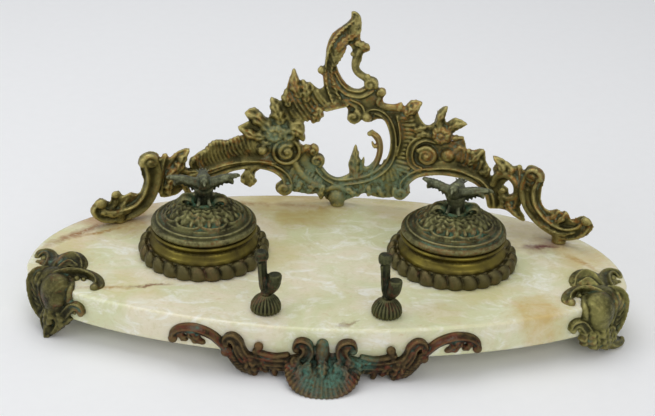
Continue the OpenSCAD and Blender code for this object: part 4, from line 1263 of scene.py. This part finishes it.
# %% Foot motifs on the edge
def shield():
    """Swelling egg-shaped shield, wider at the top."""
    rows = []
    for t in np.linspace(0.02, 1, 14):
        a = np.arange(28) * math.pi / 14
        swell = 5.6 * (1 - t ** 2.4)
        across = 9.2 * t * np.cos(a) * (1 + 0.18 * np.sin(a))
        rows.append(np.column_stack([3 + across, 25 + 14 * t * np.sin(a),
                                     np.full(28, 1.6 + swell)]))
    rows.append(np.column_stack([3 + 9.2 * np.cos(a), 25.5 + 12.4 * np.sin(a), np.full(28, -1.4)]))
    return [loft(np.array(rows))]


foot_front = (
    shield()
    + band([[-2, 38.6, 1.6, 1], [-7.4, 33, 1.8, 1], [-8, 23, 1.8, 1], [-4.4, 15, 1.8, 1.2],
            [0, 11.6, 1.6, 1.4]], "round", 1)
    + band([[8, 38, 1.6, 1], [13.4, 31, 1.7, 1], [13.6, 22, 1.7, 1], [10.4, 15, 1.9, 1.4], [6, 11, 2, 2]],
           "round", 1)
    + band([[-13, 37, 1.6, 1.6], [-15.6, 29, 1.8, 2.4], [-15, 19, 1.8, 2.6], [-11.4, 11.6, 1.8, 2.4],
            [-6, 8.6, 2, 2.4]], "ridge", 1.6)
    + band([[-9, 37, 2.6, 0.4], [-12, 29, 3.2, 0.8], [-11.6, 19, 3.2, 0.8], [-8, 11.6, 2.8, 1]],
           "round", 0.7, ribs=2.8, slant=0.8)
    + band([[10, 13.6, 2.4, 1.2], [13.6, 18.6, 2.5, 1.6], [17.4, 22.8, 2.5, 1.6], [21.4, 22.6, 2.3, 1.4],
            [22.6, 19.8, 1.8, 1.2]], "rimmed", 1.1)
    + bead(22, 19.4, 2.1, 2) + bead(17.6, 18.4, 1.4, 1.4)
    + leaf([[3, 9, 2.4], [9, 10, 2.2], [15.4, 13.6, 0.6]], 4.6, 4, 0.5, hang=0.4)
    + leaf([[2, 18, 4], [2, 12, 5.6], [1, 5, 6.6]], 6, 4, 0.4, hang=0.3)
    + leaf([[6, 16, 3], [8.4, 11, 4], [8, 5, 4.4]], 5, 4, 0.4, hang=0.3)
    + bead(-5, 9.6, 2.6, 3))
claw = (
    band([[1.4, 14, 2.8, 3], [0.8, 8, 2.8, 4.6], [1.2, 3, 2.4, 6.6], [1.8, 0, 1.9, 7.6]],
         "ridge", 1.1, hang=0.35)
    + band([[-3, 14, 2.2, 2.4], [-4.2, 9, 2.2, 3.6], [-2.6, 5, 1.9, 4.8], [-0.4, 2.6, 1.4, 5.8]],
           "ridge", 1.1, hang=0.35)
    + band([[6.6, 13, 2.2, 2.6], [7.4, 9, 2.2, 3.6], [6, 5.4, 1.9, 4.8], [4.4, 3, 1.4, 5.8]],
           "ridge", 1.1, hang=0.35)
    + bead(-2.8, 5.6, 2.2, 3.8))
skirt = (
    leaf([[12, 17, 1.4], [12.6, 11, 2], [10.6, 6.6, 1.6]], 6.4, 4, 0.5, hang=0.4)
    + leaf([[7.6, 16, 2.6], [7.4, 9, 3.8], [5.4, 3.6, 3.4]], 7, 4, 0.5, hang=0.4)
    + leaf([[2, 16, 3.6], [1, 8, 5], [-1, 2.2, 4.8]], 7, 4, 0.5, hang=0.4)
    + leaf([[-3.6, 16, 2.4], [-5, 9, 3.8], [-6, 3.6, 3.6]], 6, 4, 0.5, hang=0.4)
    + band([[-2, 7, 2.4, 3.6], [-6, 3.2, 2.6, 4.8], [-11, 1.6, 2.4, 5], [-15.4, 1.4, 1.9, 4]], "ridge", 0.9)
    + bead(-15.6, 1.8, 2.2, 3.2))


def top_sheet(verts):
    """Sheet that lies flat on the slab, as seen from above."""
    return verts + [0, 0, slab_top]


# %% [markdown]
# ### The foot's grip on top
# Scrolls and leaves lie on the slab and hook over its edge.  They are drawn for the left foot
# and mirrored for the right, whose front scroll is shorter.

# %% Foot motifs on top of the slab, drawn for the left foot
long_hook = (
    band([[-154, -17, 4.8, 0.6], [-148, -13, 4.6, 0.8], [-141, -11.4, 4, 0.8], [-134, -13.4, 3.6, 0.6],
          [-128.8, -18, 3.2, 0.4], [-126.8, -24, 2.9, 0.2], [-129, -27.6, 2.2]], "lip", 1.1)
    + bead(-129.2, -27.4, 2.6, 1))
short_hook = (
    band([[-154, -17, 4.8, 0.6], [-149, -13, 4.6, 0.8], [-143, -11.6, 4.2, 0.8], [-137.6, -14, 3.8, 0.6],
          [-133.8, -18.6, 3.3, 0.4], [-132.6, -23.6, 2.9, 0.2], [-134.6, -26.4, 2.2]], "lip", 1.1)
    + bead(-134.8, -26.2, 2.6, 1))
foot_top = (
    band([[-149, -17, 1.4, 0.4], [-143, -14, 1.5, 0.6], [-136, -15.4, 1.4, 0.4]], "round", 1.2)
    + bead(-144.6, -18.4, 2.2, 0.8) + bead(-140.6, -17.6, 1.9, 0.6) + bead(-136.6, -18.2, 1.6, 0.4)
    + band([[-154.6, -7, 3.4, 0.8], [-152, 1.4, 4.4, 2], [-146.4, 4, 5.2, 2.6], [-141.6, 0, 4.6, 1.6],
            [-140, -4.6, 3, 0.6]], "ridge", 0.7)
    + band([[-153, -9, 2.6, 1], [-148, -3, 3.4, 2.2], [-143.6, -4.4, 2.6, 1.6]], "ridge", 0.8)
    + band([[-158, -11, 3.8, 0.4], [-157.4, -3, 3.6, 0.8], [-158.4, 4.6, 3.4, 0.8], [-162, 9.8, 3, 0.6],
            [-166, 10, 2.4, 0.4], [-167.4, 6.6, 1.8, 0.2]], "rimmed", 1)
    + leaf([[-160, -6, 0.8], [-163, -1, 1.2], [-167.6, 1, 0.2]], 2.6, 3)
    + bead(-163, 4.4, 2.2, 0.4)
    + bead(-154, -16, 7.6, 0.6, 0.62) + bead(-160.4, -11.6, 4, 0.4, 0.8))

FOOT_CENTRE = along_at(-154)
for side in SIDES:
    toes, hook = (claw, long_hook) if side == "left" else (skirt, short_hook)
    solid = bent(shifted(foot_front + toes, FOOT_CENTRE), edge_sheet)
    solid += bent(foot_top + hook, top_sheet)
    if side == "right":
        solid = mirrored(solid, 0.75)
    foot = cast(f"{side}_scroll_foot", solid, 0.5, 2, 14)
    finish = olive_bronze if side == "right" else foot_bronze
    place_piece(foot, finish, "stand", "patinated_bronze", f"{side}_front_foot")

# %% [markdown]
# ## Front mount and its shell
# The long mount on the front edge is redder than the rest.  Two arms curl down at its ends,
# C-scrolls meet at the middle, and a shell leans forward to the ground as the middle foot.
# One half is drawn and reflected; the tongue between the halves stands a little to the left.

# %% Front mount
mount_half = (
    band([[83.6, 16.4, 2.3, 0.8], [82.6, 20.2, 2.5, 1], [78, 23.4, 2.8, 1], [70, 24.4, 3, 1],
          [61.6, 21.8, 2.9, 1], [56, 17, 2.6, 1], [52.4, 13, 2.2, 1]], "ridge", 1.1)
    + bead(83.4, 16.4, 2.7, 1.4) + bead(53.6, 12.6, 2.8, 1.6)
    + leaf([[74, 22.6, 0.8], [70.6, 18.4, 1.4], [65, 15.6, 0.4]], 5, 3, 0.5)
    + leaf([[80.4, 21, 0.8], [77.6, 17.6, 1.2], [75, 16, 0.4]], 3.6, 3, 0.5)
    + band([[53.8, 18.4, 2, 1.8], [53, 21.4, 2.3, 2], [49.8, 22.4, 2.8, 2], [47, 19.6, 3.1, 1.8],
            [45.8, 15.4, 3.2, 1.6], [43, 11, 3.4, 1.6], [38.6, 7.4, 3.4, 1.4]], "rimmed", 0.9)
    + bead(53.8, 17.6, 2.3, 2) + bead(47.2, 22.2, 1.9, 2.2)
    + band([[47, 17.6, 1.2, 3], [44.4, 13, 1.3, 3.2], [40.6, 9.4, 1.3, 3]], "round", 1)
    + band([[52, 15, 2.2, 0.8], [49.8, 10.4, 2.8, 1], [45.4, 6, 3.2, 1.2], [39.6, 3, 3, 1.2]], "round",
           1.1, ribs=2, slant=0.9)
    + leaf([[42, 12, 1.6], [39.6, 6, 2.6], [36.6, -0.2, 1.6]], 7, 4, 0.5)
    + leaf([[45.4, 10, 1.2], [45.2, 5, 1.8], [43.4, 0.6, 1]], 5, 3, 0.5)
    + leaf([[36, 10, 1.4], [33, 6, 2], [30.4, 2, 0.8]], 5.4, 3, 0.5)
    + band([[46, 13.6, 1.9, 2], [38.6, 10.8, 2.1, 2.2], [30, 9.4, 2.2, 2.2], [22, 9.8, 2.3, 2.2],
            [16, 10.6, 2.8, 2.2], [11.2, 13.2, 3.3, 2], [9, 17.6, 3.4, 2.2], [10, 21.6, 3.2, 2.4],
            [13.6, 22.4, 2.8, 2.2], [15.4, 19.4, 2.3, 1.8]], "rimmed", 0.9)
    + bead(15, 18.6, 2.5, 2)
    + band([[30, 6.6, 2.2, 0.8], [21, 6, 2.4, 0.8], [13, 7, 2.8, 0.8]], "round", 1, ribs=2.6)
    + band([[35.6, 9, 1.8, 1], [36.8, 13, 1.9, 1], [36, 17, 2.2, 1]], "round", 1.1)
    + bead(35.6, 18.2, 2.7, 1.4) + bead(25.4, 12.6, 2, 1.8) + bead(29.4, 12, 1.3, 1.6)
    + band([[38, 15, 1.2, 2], [28, 13, 1.3, 2.4], [20, 14.4, 1.2, 2]], "round", 1))
mount_middle = (band([[-1.4, 8, 3, 1.2], [-1.4, 13, 3.7, 1.8], [-1.4, 18.6, 3.9, 1.8],
                      [-1.4, 22, 3.2, 1.2]], "round", 0.9)
                + band([[-1.4, 9, 0.8, 4.2], [-1.4, 14, 0.9, 4.8], [-1.4, 19.6, 0.9, 4.8]], "round", 1)
                + band([[-16, 11, 3.4], [-6, 12, 4], [6, 12, 4], [16, 11, 3.4]], "round", 0.3))


def shell_sheet(verts):
    """Sheet of the shell: across, down its slope from the slab's edge, and out of it."""
    slope, out = np.array([0, -0.829, -0.559]), np.array([0, -0.559, 0.829])
    return ([0, -62.6, 12.6] + verts[:, :1] * [1, 0, 0] + verts[:, 1:2] * slope + verts[:, 2:] * out)


SHELL_RIM = (21.6, 23.4, 25.6, 27.2, 28.2, 28.9, 29, 28.9, 28.2, 27.2, 25.2, 22.6, 20.6)
SHELL_RIBS = 27
shell = (
    fan(-1, -5, 5, SHELL_RIM, 18, 162, SHELL_RIBS, 1.3, 0.6)
    + volute(-15.4, 3.6, 3.8, 30, 1.2, 1, 1.5, 1.1, 1.4)
    + volute(13.4, 3.6, 3.8, 150, 1.2, -1, 1.5, 1.1, 1.4)
    + volute(-8.6, 6, 3.2, 60, 1.1, 1, 1.3, 1.1, 1.8)
    + volute(6.6, 6, 3.2, 120, 1.1, -1, 1.3, 1.1, 1.8)
    + leaf([[-12, 5, 1.6], [-13.6, 10, 2], [-14.4, 14, 0.8]], 4, 3)
    + leaf([[10, 5, 1.6], [11.6, 10, 2], [12.4, 14, 0.8]], 4, 3)
    + leaf([[-1, 3, 2], [-1, 8, 2.8], [-1, 14, 1.6]], 5.4, 4))
stubs = band([[26.4, 10, 2, 1], [27, 4, 1.8, 1], [26.6, 1.6, 1.6, 1]], "round", 1.2)
mount = bent(mount_half + mirrored(mount_half) + mount_middle + stubs + mirrored(stubs), edge_sheet)
mount = cast("front_shell_mount", mount + bent(shell, shell_sheet), 0.5, 1, 14)
place_piece(mount, copper_bronze, "stand", "copper_bronze", "front_shell_foot")

# %% [markdown]
# ## Pieces kept from the frame
# Screws, nuts, pins, brackets and rear feet are plain turned parts in real life too, so their
# CAD shapes stay.  They only need the right finish.

# %% Finishes for the kept pieces
KEPT = {
    "gallery_studs": screw_brass, "gallery_nuts": screw_brass, "pot_screws": screw_brass,
    "pot_washers": screw_brass, "pen_fork_nuts": screw_brass, "foot_screws": screw_brass,
    "rear_foot_screws": screw_brass,
}
for side in SIDES:
    for part in ("hinge_bracket", "hinge_pin", "finial_nut"):
        KEPT[f"{side}_{part}"] = screw_brass
    KEPT[f"{side}_glass_liner"] = glass
    KEPT[f"{side}_rear_foot"] = bronze
for name, finish in KEPT.items():
    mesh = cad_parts[name].data
    mesh.materials.clear()
    mesh.materials.append(finish)
print("kept from the frame:", len(KEPT))

# %% [markdown]
# ## Floor, light and camera
# The stand sits on plain pale paper that curves up behind it, as in a small studio.  A
# wide soft light hangs above, and a pale surround fills the shadows.

# %% Paper floor
def matt_paper():
    """Pale paper with a faint tooth."""
    finish, tree, shader, place = new_finish("matt_paper")
    tooth = grain(tree, place, 8, 3, 0.5)
    tone = blend(tree, tooth, colour("#f2f3f5"), colour("#f5f6f8"))
    tree.links.new(tone, shader.inputs["Base Color"])
    shader.inputs["Roughness"].default_value = 0.9
    shader.inputs["Specular IOR Level"].default_value = 0.15
    return finish


def paper_sweep():
    """Floor that curves up into a backdrop."""
    across = np.array([-3.0, 3.0])
    bend, start = 0.6, 2.4  # metres: radius of the bend, and where it starts behind the stand
    line = [(-3.0, 0.0), (start, 0.0)]
    line += [(start + bend * math.sin(a), bend - bend * math.cos(a))
             for a in np.linspace(0.1, math.pi / 2, 14)]
    line += [(start + bend, 2.6)]
    verts = [(x, y, z) for y, z in line for x in across]
    faces = [(2 * i, 2 * i + 1, 2 * i + 3, 2 * i + 2) for i in range(len(line) - 1)]
    mesh = bpy.data.meshes.new("paper")
    mesh.from_pydata(verts, [], faces)
    mesh.shade_smooth()
    mesh.materials.append(matt_paper())
    paper = bpy.data.objects.new("paper", mesh)
    bpy.context.scene.collection.objects.link(paper)
    return paper


paper_sweep()

# %% [markdown]
# ### Lights
# Three square soft boxes: a large one above and behind, a warmer one in front on the right and a
# small cool one on the left.  A big light close by gives metal long soft highlights.

# %% Lights
def soft_light(name, place, target, size, power, tint="#ffffff"):
    """Square soft box that points at a target; sizes in metres, power in watts."""
    lamp = bpy.data.lights.new(name, "AREA")
    lamp.shape = "SQUARE"
    lamp.size = size
    lamp.energy = power
    lamp.color = colour(tint)[:3]
    box = bpy.data.objects.new(name, lamp)
    box.location = place
    box.rotation_euler = (Vector(target) - Vector(place)).to_track_quat("-Z", "Y").to_euler()
    bpy.context.scene.collection.objects.link(box)
    return box


soft_light("overhead_softbox", (-0.2, 0.2, 1.15), (0, 0.08, 0), 0.9, 5)
soft_light("front_softbox", (0.55, -1.1, 0.75), (0, 0, 0.05), 0.8, 3.6, "#fffaf2")
soft_light("left_softbox", (-1.1, -0.5, 0.6), (0, 0, 0.05), 0.6, 2.6, "#fafcff")
world = bpy.data.worlds.new("pale_room")
world.use_nodes = True
world.node_tree.nodes["Background"].inputs["Color"].default_value = colour("#f3f4f5")
world.node_tree.nodes["Background"].inputs["Strength"].default_value = 0.54
bpy.context.scene.world = world
bpy.context.scene.view_settings.view_transform = "Standard"

# %% [markdown]
# ### Camera
# A long lens a little above the stand.  The depth of field is off, so all of it is sharp.

# %% Camera
BACK = Vector((-0.0027, -0.8938, 0.4484)).normalized()  # from the stand towards the camera
ROLL = 0.036
focus = Vector((-0.00116, widest_y * MM, 0.07166))
lens = bpy.data.cameras.new("camera")
lens.lens = 78.49
lens.sensor_width = 36
camera = bpy.data.objects.new("camera", lens)
right = Vector((0, 0, 1)).cross(BACK).normalized()
upward = BACK.cross(right)
axis_x = right * math.cos(ROLL) + upward * math.sin(ROLL)
axis_y = upward * math.cos(ROLL) - right * math.sin(ROLL)
camera.matrix_world = Matrix.Translation(focus + BACK * 0.8) @ Matrix(
    (axis_x, axis_y, BACK)).transposed().to_4x4()
bpy.context.scene.collection.objects.link(camera)
bpy.context.scene.camera = camera
print("camera at", [round(v, 4) for v in camera.matrix_world.translation])
